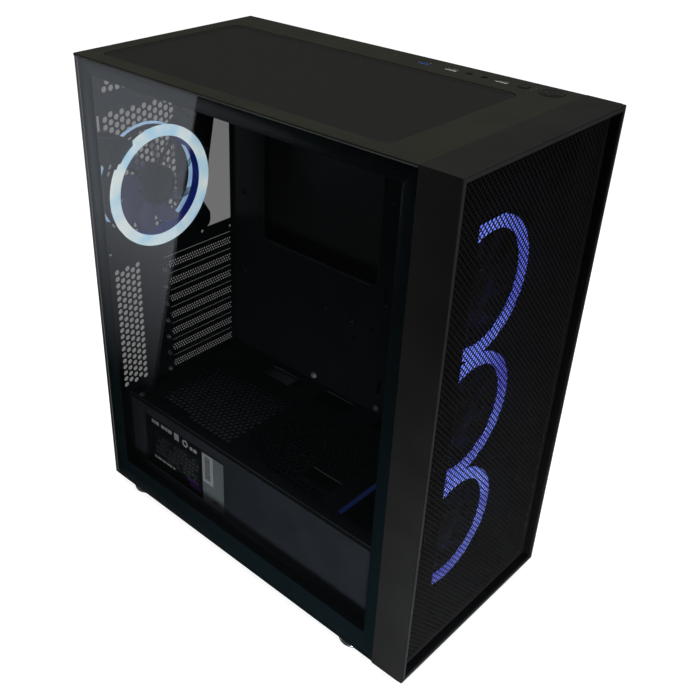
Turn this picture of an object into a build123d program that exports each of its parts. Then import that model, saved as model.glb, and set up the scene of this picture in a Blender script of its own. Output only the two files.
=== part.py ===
"""Desktop computer tower: steel chassis, glass side, mesh front, four ring-light fans and a power supply."""

import os
from math import cos, pi, radians, sin, sqrt

from build123d import *

os.makedirs("parts", exist_ok=True)

# Frame: X to the right seen from the front, Y to the rear, Z up; the origin is on the floor under
# the middle of the overall box. All sizes are in millimetres.

# ---- body and chassis ----
body_width = 212.0
body_depth = 400.0  # bezel face to the rear edge of the top panel
body_height = 460.0  # underside of the chassis to the top face
foot_height = 12.0
sheet = 1.0  # chassis steel
rear_inset = 2.6  # rear edge of the top panel to the rear panel's outer face
chassis_inset = 9.0  # side of the case to that of the inner chassis
floor_flange = 12.0
tray_gap = 30.0  # cable space between the tray and the right side of the case
bezel_depth = 33.0
wall_setback = 28.2  # bezel face to the steel front wall
wall_flange = 7.0  # seam of the bezel to the rear edge of the front wall's flanges
play = 0.3  # gap between parts that move past each other
running = 0.05  # radial clearance of a shaft in its bore

# ---- side panels and their thumbscrews ----
glass = 3.0
panel_clear = 1.5  # lower edge of a side panel to the underside of the chassis
panel_inset = 1.0  # rear edge of a side panel to that of the top panel
border_rear = 24.5
border_front = 23.0
border_top = 13.5
border_bottom = 24.0
rail_reach = 3.2
rail_sheet = 1.2
rail_start = 5.0
tab_width = 18.0
tab_height = 30.0
tab_sheet = 1.2
thumb_head = 8.4
thumb_head_radius = 6.0
thumb_grips = 18
thumb_shank_radius = 1.8
thumb_shank = 6.0
thumb_inset = 14.5  # side of the case to the screw
thumb_low = 34.0
thumb_top = 30.0  # top face to the upper screws

# ---- fans ----
fan_size = 120.0
fan_depth = 25.0
fan_corner = 3.0
fan_pad = 17.4  # side of a corner pad
fan_screw_pitch = 105.0
duct_radius = 49.4
ring_inner = 49.0
ring_outer = 59.4
ring_depth = 3.0
hub_radius = 19.5
hub_depth = 16.0
hub_flats = 18  # two for each blade
tip_gap = 1.6
blade_count = 9
blade_sheet = 1.6
blade_start = 15.0  # axis to the root inside the hub
blade_root_chord = 15.0
blade_tip_chord = 21.0
blade_sweep = 2.0
blade_pitch = 38.0  # degrees from the plane of the fan
strut_count = 4
strut_width = 5.0
strut_bite = 1.0  # what a strut runs into the duct's wall
motor_radius = 18.0
motor_depth = 3.0
shaft_radius = 1.5
shaft_length = 14.0
front_fan_count = 3
front_fan_from_tray = 84.0  # tray to the middle of the front fans
front_fan_low = 96.0  # underside of the chassis to the middle of the lowest fan
rear_fan_inset = 66.0  # glass side of the case to the middle of the rear fan
rear_fan_from_top = 132.5  # top face to the middle of the rear fan
opening_margin = 0.9  # light ring to the opening in the front wall
screw_head_radius = 3.4
screw_head = 2.0

# ---- rear panel ----
slot_count = 7
slot_pitch = 20.32
slot_top = 227.5  # underside of the chassis to the middle of the highest slot
slot_to_tray = 4.5
slot_length = 94.5
slot_edge = 11.0  # solid end of a slot cover
cover_gap = 0.9
cover_overlap = 2.0
cover_tab = 11.0
cover_rib = 2.5
io_to_tray = 3.5
io_width = 44.5
io_low = 250.0
io_height = 158.8
column_pitch = 14.9
column_flat = 11.2  # across the flats of a vent hole
column_inset = 16.5  # glass side of the case to the column of vents
column_width = 39.5
column_low = 104.0
column_high = 246.0
grille_pitch = 18.4
grille_flat = 14.6
grille_radius = 46.0
step_gap = 19.5  # rear fan to the step
step_top = 16.0  # top face to the step
step_depth = 2.5
step_inset = 20.0
step_to_tray = 15.0
side_slot_inset = 14.8
side_slot_low = 383.0
side_slot_length = 19.0
side_slot_width = 2.6

# ---- top panel, its filter and the strip of ports ----
top_sheet = 1.8
filter_left_inset = 15.7  # sides of the case to the filter
filter_right_inset = 35.5
filter_rear = 17.0  # rear edge of the case to the filter
filter_front = 69.0  # bezel face to the filter
filter_corner = 10.0
filter_gap = 0.5
filter_sink = 0.6
filter_thickness = 1.4
top_slot_length = 104.0
top_slot_width = 9.0
top_slot_pitch = 19.0
top_slot_rows = 6
strip_inset = 16.0  # right side of the case to the middle of the strip
power_from_front = 53.3
power_radius = 10.0
power_travel = 1.5
reset_from_front = 78.0
reset_radius = 5.2
reset_travel = 1.0
cap_proud = 0.6
cap_skirt = 4.0
lug_reach = 1.2
lug_width = 5.0
lug_sheet = 1.0
stem_width = 3.0
light_from_front = 69.2
light_spacing = 7.0
light_radius = 1.2
usb_width = 6.6
usb_length = 14.0
usb_depth = 12.0
usb_wall = 0.5
usb_tongue = 2.0
usb3_from_front = 174.2
usb2_from_front = (146.7, 98.2)
jack_from_front = (128.7, 114.2)
jack_body = 7.0
jack_bore = 1.8
jack_depth = 12.0
board_left = 2.0  # tray to the edge of the board
board_width = 18.0
board_sheet = 1.6
board_drop = 14.0
board_margin = 13.0
switch_width = 6.0
switch_gap = 0.2

# ---- motherboard tray ----
cutout_front = 205.7  # rear edge of the case to the cut-out behind the processor
cutout_rear = 52.0
cutout_low = 244.0
cutout_height = 150.0
cutout_corner = 6.0
cable_slot_from_rear = 217.2
cable_slot_width = 4.0
cable_slot_length = 18.0
cable_slot_heights = (344.0, 236.0, 130.0)

# ---- shroud over the power supply ----
shroud_height = 98.0  # underside of the chassis to the top of the shroud
shroud_inset = 26.0  # glass side of the case to the shroud's left wall
shroud_end = 55.7  # bezel face to the front end of the shroud
window_front = 148.7  # rear edge of the case to the window in the shroud's side
window_rear = 22.0
window_low = 13.5
window_high = 81.0
radiator_front = 60.0
radiator_rear = 113.2
radiator_inset = 14.0  # left wall of the shroud to the cut-out
radiator_to_tray = 13.0
shroud_flange = 8.0
field_inset = 16.0  # left wall of the shroud to the fields of holes
field_to_tray = 43.0
rear_field = (29.0, 143.0)  # rear edge of the case to the two ends of a field of holes
front_field = (152.0, 262.0)
shroud_hole_pitch = 22.0
shroud_hole_flat = 17.5
cable_hole_width = 18.0
cable_hole_length = 37.5
cable_hole_margin = 3.0
cable_holes = ((14.0, 170.2), (12.0, 243.2), (117.0, 249.0))  # from the tray and from the rear edge
pump_hole_to_tray = 18.8
pump_hole_from_rear = 100.5
pump_hole_size = (16.5, 29.0)
shroud_screws_from_rear = (129.0, 216.0)

# ---- power supply ----
psu_gap = 4.0  # left wall of the shroud to the power supply
psu_height = 86.0
psu_depth = 140.0
psu_lift = 3.0
psu_frame = 3.0  # rim of the rear panel in front of the power supply
psu_pocket = 122.0
psu_pocket_depth = 26.0
psu_guard = 1.2
psu_guard_count = 11
psu_guard_pitch = 10.2
psu_guard_slot = 6.0
psu_rotor_tip = 56.0
psu_vent_columns = 4
psu_vent_rows = 3
psu_vent_pitch = 22.0
psu_vent_web = 2.5
psu_vent_depth = 3.0
psu_vent_from_left = 53.0
inlet_from_right = 27.0
inlet_height = 60.0
inlet_width = 27.6
inlet_tall = 20.0
inlet_depth = 15.0
inlet_wall = 2.0
pin_size = (2.0, 10.0, 4.0)
pin_places = ((-7.0, -1.5), (0.0, 2.0), (7.0, -1.5))
rocker_height = 27.0
rocker_frame_width = 19.2
rocker_frame_tall = 13.0
rocker_frame_wall = 1.4
rocker_frame_depth = 10.0
rocker_swing = 12.0  # degrees from one stop to the other
rocker_axis_depth = 3.2
rocker_radius = 2.2
rocker_face = 2.4
rocker_end_gap = 1.0
rocker_side_gap = 0.1
pad_size = 22.0

# ---- front bezel and mesh ----
bezel_wall = 5.0
bezel_edge = 1.0
mesh_depth = 8.0
mesh_sheet = 0.8
mesh_border = 5.0
bezel_window_inset = 44.0
bezel_window_end = 24.0
bezel_flange_depth = 10.0
bezel_flange = 2.0
peg_size = 5.0
peg_length = 8.0
peg_inset = 22.0
peg_end = 40.0  # upper and lower faces to the outer pegs

# ---- drive cage and bracket ----
cage_depth = 104.0
cage_height = 58.0
cage_gap = 8.0  # front fans to the cage
cage_shelf = 27.0
bracket_length = 100.0
bracket_width = 70.0
bracket_gap = 8.0
bracket_from_rear = 120.0
bracket_height = 170.0

# ---- feet and bottom filter ----
foot_radius = 14.0
foot_waist = 12.0
foot_flats = 24
foot_inset = 18.0
foot_rear = 34.0
foot_front = 68.0
pad_radius = 10.5
pad_flats = 16
pad_drop = 2.0
dust_inset = 36.0  # sides of the case to the bottom filter
dust_length = 150.0
dust_thickness = 2.4
dust_border = 7.0
dust_rail = 1.4
handle_width = 32.0
floor_slot_margin = 14.0  # edge of the filter to the slots above it
floor_slot_width = 7.0
floor_slot_pitch = 12.0
floor_slot_rows = 10

# ---- places worked out from these ----
thumb_proud = tab_sheet + thumb_head - rear_inset
front_y = -(body_depth + thumb_proud) / 2
rear_y = front_y + body_depth
side_x = body_width / 2
floor_z = foot_height
deck_z = floor_z + sheet
top_z = floor_z + body_height
under_top = top_z - top_sheet
panel_y = rear_y - rear_inset - sheet  # inner face of the rear panel
outside_y = panel_y + sheet  # its outer face
wall_y = front_y + wall_setback
seam_y = front_y + bezel_depth
tray_x = side_x - tray_gap - sheet
chassis_half = side_x - chassis_inset
strip_x = side_x - strip_inset
front_fan_y = wall_y + sheet
rear_fan_y = panel_y - fan_depth
rear_fan_x = -side_x + rear_fan_inset
front_fan_x = tray_x - front_fan_from_tray
rear_fan_z = top_z - rear_fan_from_top
front_fan_zs = [floor_z + front_fan_low + fan_size * k for k in range(front_fan_count)]
slot_zs = [floor_z + slot_top - slot_pitch * k for k in range(slot_count)]
thumb_zs = [floor_z + thumb_low, top_z - thumb_top]
thumb_x = side_x - thumb_inset


def facing(y, x=0.0, z=0.0):
    """A plane that looks to the front, so that its sketch holds X and Z."""
    return Plane(origin=(x, y, z), x_dir=(1, 0, 0), z_dir=(0, -1, 0))


def block(x, y, z, mode=Mode.ADD):
    """Adds or cuts the box between two corners in the part that is being built."""
    middle = [(low + high) / 2 for low, high in (x, y, z)]
    with Locations(tuple(middle)):
        Box(*(abs(high - low) for low, high in (x, y, z)), mode=mode)


def honeycomb(across, up, pitch, flat):
    """Centres of the staggered holes that fit between two spans."""
    step = pitch * sqrt(3) / 2
    columns = int((across[1] - across[0] - flat) / step) + 1
    rows = int((up[1] - up[0] - flat - pitch / 2) / pitch) + 1
    middle_x, middle_y = (across[0] + across[1]) / 2, (up[0] + up[1]) / 2
    points = []
    for i in range(columns):
        shift = pitch / 4 if i % 2 else -pitch / 4
        for k in range(rows):
            x = middle_x + (i - (columns - 1) / 2) * step
            points.append((x, middle_y + (k - (rows - 1) / 2) * pitch + shift))
    return points


def hexagons(flat):
    RegularPolygon(flat / 2, 6, major_radius=False)


def write(piece, name):
    piece.part.label = name
    export_step(piece.part, f"parts/{name}.step")


# ---- chassis floor with its side flanges and the rails of the bottom filter ----
dust_front = panel_y - dust_length
dust_width = body_width - 2 * dust_inset
rail_inside = dust_width / 2 + play
rail_drop = dust_thickness + 2 * play

with BuildPart() as chassis_floor:
    block((-chassis_half, chassis_half), (wall_y, outside_y), (floor_z, deck_z))
    block((-side_x + sheet, side_x - sheet), (seam_y + play, outside_y), (floor_z, deck_z))
    for side in (-1, 1):
        web = (side * (rail_inside + dust_rail), side * rail_inside)
        lip = (side * (rail_inside + dust_rail), side * (rail_inside - dust_border / 2))
        flange = (side * chassis_half, side * (chassis_half - sheet))
        block(flange, (wall_y + sheet, panel_y), (deck_z, deck_z + floor_flange))
        block(web, (dust_front, outside_y), (floor_z - rail_drop, floor_z))
        block(lip, (dust_front, outside_y), (floor_z - rail_drop - dust_rail, floor_z - rail_drop))
    with Locations((0, panel_y - psu_depth / 2, floor_z)):
        with GridLocations(0, floor_slot_pitch, 1, floor_slot_rows):
            Box(dust_width - 2 * floor_slot_margin, floor_slot_width, 4 * sheet, mode=Mode.SUBTRACT)
write(chassis_floor, "chassis_floor")

# ---- rear panel: one sheet with a raised step, openings and two honeycombs ----
slot_right = tray_x - slot_to_tray
slot_left = slot_right - slot_length
slots_low = slot_zs[-1] - slot_pitch / 2
slots_high = slot_zs[0] + slot_pitch / 2
psu_low = deck_z + psu_lift
psu_high = psu_low + psu_height
shroud_left = side_x - shroud_inset
psu_left = -shroud_left + sheet + psu_gap
psu_width = tray_x - psu_left
psu_x = (psu_left + tray_x) / 2
io_middle = (tray_x - io_to_tray - io_width / 2, floor_z + io_low + io_height / 2)
side_slot_middle = (-side_x + side_slot_inset, floor_z + side_slot_low + side_slot_length / 2)
column_across = (-side_x + column_inset, -side_x + column_inset + column_width)
column_span = (floor_z + column_low, floor_z + column_high)
grille_span = (-grille_radius - grille_flat, grille_radius + grille_flat)
grille = [
    (rear_fan_x + x, rear_fan_z + z)
    for x, z in honeycomb(grille_span, grille_span, grille_pitch, grille_flat)
    if x * x + z * z < grille_radius**2
]

with BuildPart() as rear_panel:
    block((-chassis_half, chassis_half), (panel_y, outside_y), (deck_z, under_top))
    block(
        (-side_x + step_inset, tray_x - step_to_tray),
        (panel_y - step_depth, panel_y),
        (rear_fan_z + fan_size / 2 + step_gap, top_z - step_top),
    )
    with BuildSketch(facing(panel_y)):
        with Locations(io_middle):
            Rectangle(io_width, io_height)
        with Locations(((slot_left + slot_right) / 2, (slots_low + slots_high) / 2)):
            Rectangle(slot_right - slot_left, slots_high - slots_low)
        with Locations((psu_x, (psu_low + psu_high) / 2)):
            Rectangle(psu_width - 2 * psu_frame, psu_height - 2 * psu_frame)
        with Locations(side_slot_middle):
            Rectangle(side_slot_width, side_slot_length)
        with Locations(honeycomb(column_across, column_span, column_pitch, column_flat)):
            hexagons(column_flat)
        with Locations(grille):
            hexagons(grille_flat)
        with Locations([(s * thumb_x, z) for s in (-1, 1) for z in thumb_zs]):
            RegularPolygon(thumb_shank_radius + play, 6)
    extrude(amount=sheet, dir=(0, 1, 0), mode=Mode.SUBTRACT)
write(rear_panel, "rear_panel")

# ---- expansion slot covers and their screws ----
ledge_x = slot_left - cover_overlap
cover_half = (slot_pitch - cover_gap) / 2
for number, z in enumerate(slot_zs, start=1):
    with BuildPart() as slot_cover:
        whole = (z - cover_half, z + cover_half)
        block((ledge_x, slot_right + cover_overlap), (panel_y - sheet, panel_y), whole)
        block((ledge_x - sheet, ledge_x), (panel_y - cover_tab, panel_y), whole)
        block(
            (slot_left + slot_edge, slot_right - cover_overlap),
            (panel_y - 2 * sheet, panel_y + sheet),
            (z - cover_half + cover_rib, z + cover_half - cover_rib),
            Mode.SUBTRACT,
        )
    write(slot_cover, f"slot_cover_{number}")

with BuildPart() as slot_screws:
    for z in slot_zs:
        with BuildSketch(Plane((ledge_x - sheet, panel_y - cover_tab / 2, z), z_dir=(-1, 0, 0))):
            RegularPolygon(screw_head_radius, 6)
    extrude(amount=screw_head)
write(slot_screws, "slot_screws")

# ---- motherboard tray ----
cutout_length = cutout_front - cutout_rear
with BuildPart() as motherboard_tray:
    block((tray_x, tray_x + sheet), (wall_y + sheet, panel_y), (deck_z, under_top))
    with BuildSketch(Plane.YZ.offset(tray_x)):
        with Locations((rear_y - cutout_rear - cutout_length / 2, floor_z + cutout_low + cutout_height / 2)):
            RectangleRounded(cutout_length, cutout_height, cutout_corner)
        with Locations([(rear_y - cable_slot_from_rear, floor_z + h) for h in cable_slot_heights]):
            Rectangle(cable_slot_width, cable_slot_length)
    extrude(amount=sheet, mode=Mode.SUBTRACT)
write(motherboard_tray, "motherboard_tray")

# ---- steel front wall: the fan opening has a tab for each screw ----
peg_zs = (floor_z + peg_end, floor_z + body_height / 2, top_z - peg_end)
pegs = [(s * (side_x - peg_inset), z) for s in (-1, 1) for z in peg_zs]
with BuildPart() as front_wall:
    with BuildSketch(facing(wall_y)):
        with Locations((0, (deck_z + under_top) / 2)):
            Rectangle(2 * chassis_half, under_top - deck_z)
        with Locations([(front_fan_x, z) for z in front_fan_zs]):
            RegularPolygon(
                ring_outer + opening_margin, 8, major_radius=False, rotation=22.5, mode=Mode.SUBTRACT
            )
        with Locations(pegs):
            Rectangle(peg_size + 2 * play, peg_size + 2 * play, mode=Mode.SUBTRACT)
    extrude(amount=sheet, dir=(0, 1, 0))
    for side in (-1, 1):
        flange = (side * chassis_half, side * (chassis_half - sheet))
        block(flange, (wall_y + sheet, seam_y + wall_flange), (deck_z + floor_flange, under_top))
write(front_wall, "front_wall")

# ---- top panel: a skin with the sunk seat of the filter, vents and the strip's openings ----
filter_left = -side_x + filter_left_inset
filter_right = side_x - filter_right_inset
seat_x = (filter_left + filter_right) / 2
seat_y = (front_y + filter_front + rear_y - filter_rear) / 2
seat_width = filter_right - filter_left
seat_length = body_depth - filter_front - filter_rear
seat_z = top_z - filter_sink - filter_thickness
usb_ys = [front_y + distance for distance in (usb3_from_front, *usb2_from_front)]
jack_ys = [front_y + distance for distance in jack_from_front]
power_y = front_y + power_from_front
reset_y = front_y + reset_from_front
light_y = front_y + light_from_front
lights = [(strip_x + s * light_spacing / 2, light_y) for s in (-1, 1)]

with BuildPart() as top_panel:
    block((-side_x, side_x), (seam_y, rear_y), (under_top, top_z))
    with BuildSketch(Plane((seat_x, seat_y, seat_z - sheet))):
        RectangleRounded(seat_width + 2 * sheet, seat_length + 2 * sheet, filter_corner + sheet)
    extrude(amount=under_top - seat_z + sheet)
    with BuildSketch(Plane((seat_x, seat_y, seat_z))):
        RectangleRounded(seat_width, seat_length, filter_corner)
    extrude(amount=top_z - seat_z, mode=Mode.SUBTRACT)
    with BuildSketch(Plane((seat_x, seat_y, seat_z))):
        with Locations((0, -seat_length / 4), (0, seat_length / 4)):
            with GridLocations(0, top_slot_pitch, 1, top_slot_rows):
                Rectangle(top_slot_length, top_slot_width)
    extrude(amount=-sheet, mode=Mode.SUBTRACT)
    with BuildSketch(Plane.XY.offset(under_top)):
        with Locations([(strip_x, y) for y in usb_ys]):
            Rectangle(usb_width, usb_length)
        with Locations([(strip_x, y) for y in jack_ys]):
            RegularPolygon(jack_bore + play, 6, major_radius=False)
        with Locations(lights):
            RegularPolygon(light_radius, 6)
        with Locations((strip_x, power_y)):
            Circle(power_radius)
        with Locations((strip_x, reset_y)):
            Circle(reset_radius)
    extrude(amount=top_sheet, mode=Mode.SUBTRACT)
write(top_panel, "top_panel")

with BuildPart() as top_filter:
    with BuildSketch(Plane((seat_x, seat_y, seat_z))):
        RectangleRounded(
            seat_width - 2 * filter_gap, seat_length - 2 * filter_gap, filter_corner - filter_gap
        )
    extrude(amount=filter_thickness)
write(top_filter, "top_filter")

# ---- buttons: a cap, two lugs that keep it in its bore, and a stem over its switch ----
stem_end = under_top - switch_gap - cap_skirt


def button(name, y, radius, travel):
    cap = radius - play
    with BuildPart() as piece:
        with BuildSketch(Plane((strip_x, y, under_top - switch_gap - lug_sheet))):
            Circle(cap)
        extrude(amount=top_z + cap_proud - under_top + switch_gap + lug_sheet)
        with BuildSketch(Plane((strip_x, y, under_top - switch_gap))):
            Rectangle(lug_width, 2 * (cap + lug_reach))
        extrude(amount=-lug_sheet)
        with BuildSketch(Plane((strip_x, y, stem_end))):
            Rectangle(stem_width, stem_width)
        extrude(amount=cap_skirt)
    write(piece, name)


button("power_button", power_y, power_radius, power_travel)
button("reset_button", reset_y, reset_radius, reset_travel)

# ---- board under the strip, with its bracket and switches, then what stands on it ----
board_z = under_top - board_drop
board_front = power_y - board_margin
board_rear = usb_ys[0] + usb_length / 2 + board_margin
board_x = tray_x + sheet + board_left

with BuildPart() as io_board:
    block((board_x, board_x + board_width), (board_front, board_rear), (board_z - board_sheet, board_z))
    block((board_x, board_x + sheet), (board_front, board_rear), (board_z, under_top))
    for y, travel in ((power_y, power_travel), (reset_y, reset_travel)):
        with BuildSketch(Plane((strip_x, y, board_z))):
            Rectangle(switch_width, switch_width)
        extrude(amount=stem_end - travel - switch_gap - board_z)
write(io_board, "io_board")


def port(name, places):
    shell_width, shell_length = usb_width - 2 * play, usb_length - 2 * play
    mouth_width, mouth_length = shell_width - 2 * usb_wall, shell_length - 2 * usb_wall
    mouth_z = top_z - play
    tongue_x = strip_x - (mouth_width - usb_tongue) / 2
    with BuildPart() as piece:
        for y in places:
            with BuildSketch(Plane((strip_x, y, board_z))):
                Rectangle(shell_width, shell_length)
            extrude(amount=mouth_z - board_z)
            with BuildSketch(Plane((strip_x, y, mouth_z))):
                Rectangle(mouth_width, mouth_length)
            extrude(amount=-usb_depth, mode=Mode.SUBTRACT)
            with BuildSketch(Plane((tongue_x, y, mouth_z - usb_depth))):
                Rectangle(usb_tongue, mouth_length - 2 * usb_wall)
            extrude(amount=usb_depth - usb_tongue)
    write(piece, name)


port("usb3_port", usb_ys[:1])
port("usb2_ports", usb_ys[1:])

with BuildPart() as audio_jacks:
    for y in jack_ys:
        with BuildSketch(Plane((strip_x, y, board_z))):
            Rectangle(jack_body, jack_body)
        extrude(amount=under_top - board_z)
        with BuildSketch(Plane((strip_x, y, under_top))):
            RegularPolygon(jack_bore, 6, major_radius=False)
        extrude(amount=-jack_depth, mode=Mode.SUBTRACT)
write(audio_jacks, "audio_jacks")

with BuildPart() as status_lights:
    with BuildSketch(Plane.XY.offset(board_z)):
        with Locations(lights):
            RegularPolygon(light_radius - play / 2, 6)
    extrude(amount=top_z - board_z)
write(status_lights, "status_lights")

# ---- shroud over the power supply ----
shroud_top = floor_z + shroud_height
shroud_front = front_y + shroud_end
holes = [
    (tray_x - inset, rear_y - distance, cable_hole_width, cable_hole_length)
    for inset, distance in cable_holes
]
holes.append((tray_x - pump_hole_to_tray, rear_y - pump_hole_from_rear, *pump_hole_size))
radiator_across = (-shroud_left + radiator_inset, tray_x - radiator_to_tray)
field_across = (-shroud_left + field_inset, tray_x - field_to_tray)


def clear_of_holes(x, y):
    reach = shroud_hole_flat / 2 + cable_hole_margin
    return all(abs(x - a) > w / 2 + reach or abs(y - b) > l / 2 + reach for a, b, w, l in holes)


with BuildPart() as psu_shroud:
    block((-shroud_left, tray_x), (shroud_front, panel_y), (shroud_top - sheet, shroud_top))
    block((-shroud_left, -shroud_left + sheet), (shroud_front, panel_y), (deck_z, shroud_top - sheet))
    bend = psu_shroud.edges().filter_by(Axis.Y).group_by(Axis.Z)[-1].sort_by(Axis.X)[0]
    fillet(bend, sheet * 0.9)
    block(
        (-shroud_left - sheet, -shroud_left + 2 * sheet),
        (rear_y - window_front, rear_y - window_rear),
        (floor_z + window_low, floor_z + window_high),
        Mode.SUBTRACT,
    )
    block(
        radiator_across,
        (front_y + radiator_front, front_y + radiator_rear),
        (shroud_top - 2 * sheet, shroud_top + sheet),
        Mode.SUBTRACT,
    )
    block(
        radiator_across,
        (front_y + radiator_rear, front_y + radiator_rear + sheet),
        (shroud_top - shroud_flange, shroud_top - sheet),
    )
    notch_x = ledge_x - sheet - play
    for right, depth in ((slot_right + cover_overlap + play, sheet), (ledge_x + play, cover_tab)):
        block(
            (notch_x, right),
            (panel_y - depth - play, panel_y + sheet),
            (shroud_top - 2 * sheet, shroud_top + sheet),
            Mode.SUBTRACT,
        )
    with BuildSketch(Plane.XY.offset(shroud_top)):
        for x, y, width, length in holes:
            with Locations((x, y)):
                Rectangle(width, length)
        for rear_end, front_end in (rear_field, front_field):
            area = (rear_y - front_end, rear_y - rear_end)
            points = honeycomb(field_across, area, shroud_hole_pitch, shroud_hole_flat)
            with Locations([point for point in points if clear_of_holes(*point)]):
                hexagons(shroud_hole_flat)
    extrude(amount=-sheet, mode=Mode.SUBTRACT)
write(psu_shroud, "psu_shroud")

with BuildPart() as shroud_screws:
    for distance in shroud_screws_from_rear:
        seat = (tray_x, rear_y - distance, shroud_top + 2 * screw_head_radius)
        with BuildSketch(Plane(seat, z_dir=(-1, 0, 0))):
            RegularPolygon(screw_head_radius, 6)
    extrude(amount=screw_head)
write(shroud_screws, "shroud_screws")

# ---- power supply ----
psu_front = panel_y - psu_depth
psu_middle = (psu_x, panel_y - psu_depth / 2)
motor_top = psu_low + psu_guard + psu_pocket_depth
inlet_x = tray_x - inlet_from_right
inlet_z = floor_z + inlet_height
rocker_z = floor_z + rocker_height

with BuildPart() as psu_housing:
    block((psu_left, tray_x), (psu_front, panel_y), (psu_low, psu_high))
    with BuildSketch(Plane((*psu_middle, psu_low + psu_guard))):
        Rectangle(psu_pocket, psu_pocket)
    extrude(amount=psu_pocket_depth, mode=Mode.SUBTRACT)
    with BuildSketch(Plane((*psu_middle, psu_low))):
        with GridLocations(0, psu_guard_pitch, 1, psu_guard_count):
            Rectangle(2 * psu_rotor_tip, psu_guard_slot)
    extrude(amount=psu_guard, mode=Mode.SUBTRACT)
    with BuildSketch(Plane((*psu_middle, motor_top))):
        RegularPolygon(motor_radius, hub_flats)
    extrude(amount=-motor_depth)
    with BuildSketch(Plane((*psu_middle, motor_top))):
        Circle(shaft_radius)
    extrude(amount=-motor_depth - shaft_length)
    with BuildSketch(facing(panel_y)):
        with Locations((psu_left + psu_vent_from_left, (psu_low + psu_high) / 2)):
            with GridLocations(psu_vent_pitch, psu_vent_pitch, psu_vent_columns, psu_vent_rows):
                Rectangle(psu_vent_pitch - psu_vent_web, psu_vent_pitch - psu_vent_web)
    extrude(amount=psu_vent_depth, mode=Mode.SUBTRACT)
    with BuildSketch(facing(panel_y)):
        with Locations((inlet_x, inlet_z)):
            Rectangle(inlet_width, inlet_tall)
    extrude(amount=inlet_depth, dir=(0, -1, 0), mode=Mode.SUBTRACT)
    with BuildSketch(facing(panel_y)):
        with Locations((inlet_x, rocker_z)):
            Rectangle(rocker_frame_width, rocker_frame_tall)
    extrude(amount=rocker_frame_depth, dir=(0, -1, 0), mode=Mode.SUBTRACT)
write(psu_housing, "psu_housing")


def socket(depth, wall, width, tall, z):
    """A box that is open to the rear, in the part that is being built."""
    for thick, mode in ((0.0, Mode.ADD), (wall, Mode.SUBTRACT)):
        block(
            (inlet_x - width / 2 + thick, inlet_x + width / 2 - thick),
            (panel_y - depth + thick, panel_y),
            (z - tall / 2 + thick, z + tall / 2 - thick),
            mode,
        )


with BuildPart() as psu_inlet:
    socket(inlet_depth, inlet_wall, inlet_width, inlet_tall, inlet_z)
    with BuildSketch(facing(panel_y - inlet_depth + inlet_wall, inlet_x, inlet_z)):
        with Locations(pin_places):
            Rectangle(pin_size[0], pin_size[2])
    extrude(amount=-pin_size[1])
write(psu_inlet, "psu_inlet")

with BuildPart() as rocker_frame:
    socket(rocker_frame_depth, rocker_frame_wall, rocker_frame_width, rocker_frame_tall, rocker_z)
write(rocker_frame, "rocker_frame")

# The rocker is a shallow V on an upright axis; each half lies flat when its end is pressed in.
rocker_reach = rocker_frame_width / 2 - rocker_frame_wall - rocker_end_gap
rocker_tall = rocker_frame_tall - 2 * rocker_frame_wall - 2 * rocker_side_gap
rocker_lift = rocker_reach * sin(radians(rocker_swing))
with BuildPart() as power_rocker:
    axis_y = panel_y - rocker_axis_depth
    with BuildSketch(Plane((inlet_x, axis_y, rocker_z - rocker_tall / 2))):
        with BuildLine():
            Polyline(
                (-rocker_radius, 0),
                (-rocker_reach, rocker_face),
                (0, rocker_face),
                (rocker_reach, rocker_face + rocker_lift),
                (rocker_radius, 0),
                close=True,
            )
        make_face()
        Circle(rocker_radius)
    extrude(amount=rocker_tall)
write(power_rocker, "power_rocker")

with BuildPart() as psu_pads:
    with BuildSketch(Plane((*psu_middle, deck_z))):
        with GridLocations(psu_width - pad_size, psu_depth - pad_size, 2, 2):
            Rectangle(pad_size, pad_size)
    extrude(amount=psu_lift)
write(psu_pads, "psu_pads")

# ---- fan frames: corner pads, a duct, and a motor on four struts with the shaft ----
motor_face = fan_depth - ring_depth - motor_depth  # from the front of a fan


def fan_frames(name, places):
    with BuildPart() as piece:
        for x, y, z in places:
            with BuildSketch(facing(y, x, z)):
                with GridLocations(fan_size - fan_pad, fan_size - fan_pad, 2, 2):
                    Rectangle(fan_pad, fan_pad)
            extrude(amount=-fan_depth)
            with BuildSketch(facing(y + ring_depth, x, z)):
                Rectangle(fan_size, fan_size)
                Circle(duct_radius, mode=Mode.SUBTRACT)
            extrude(amount=-fan_depth + 2 * ring_depth)
        chamfer(piece.edges().filter_by(Axis.Y).group_by(SortBy.LENGTH)[-1], fan_corner)
        for x, y, z in places:
            with BuildSketch(facing(y + motor_face, x, z)):
                RegularPolygon(motor_radius, hub_flats)
                with PolarLocations(0, strut_count, start_angle=45):
                    Rectangle(duct_radius + strut_bite, strut_width, align=(Align.MIN, Align.CENTER))
            extrude(amount=-motor_depth)
            with BuildSketch(facing(y + motor_face, x, z)):
                Circle(shaft_radius)
            extrude(amount=shaft_length)
    write(piece, name)


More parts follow.
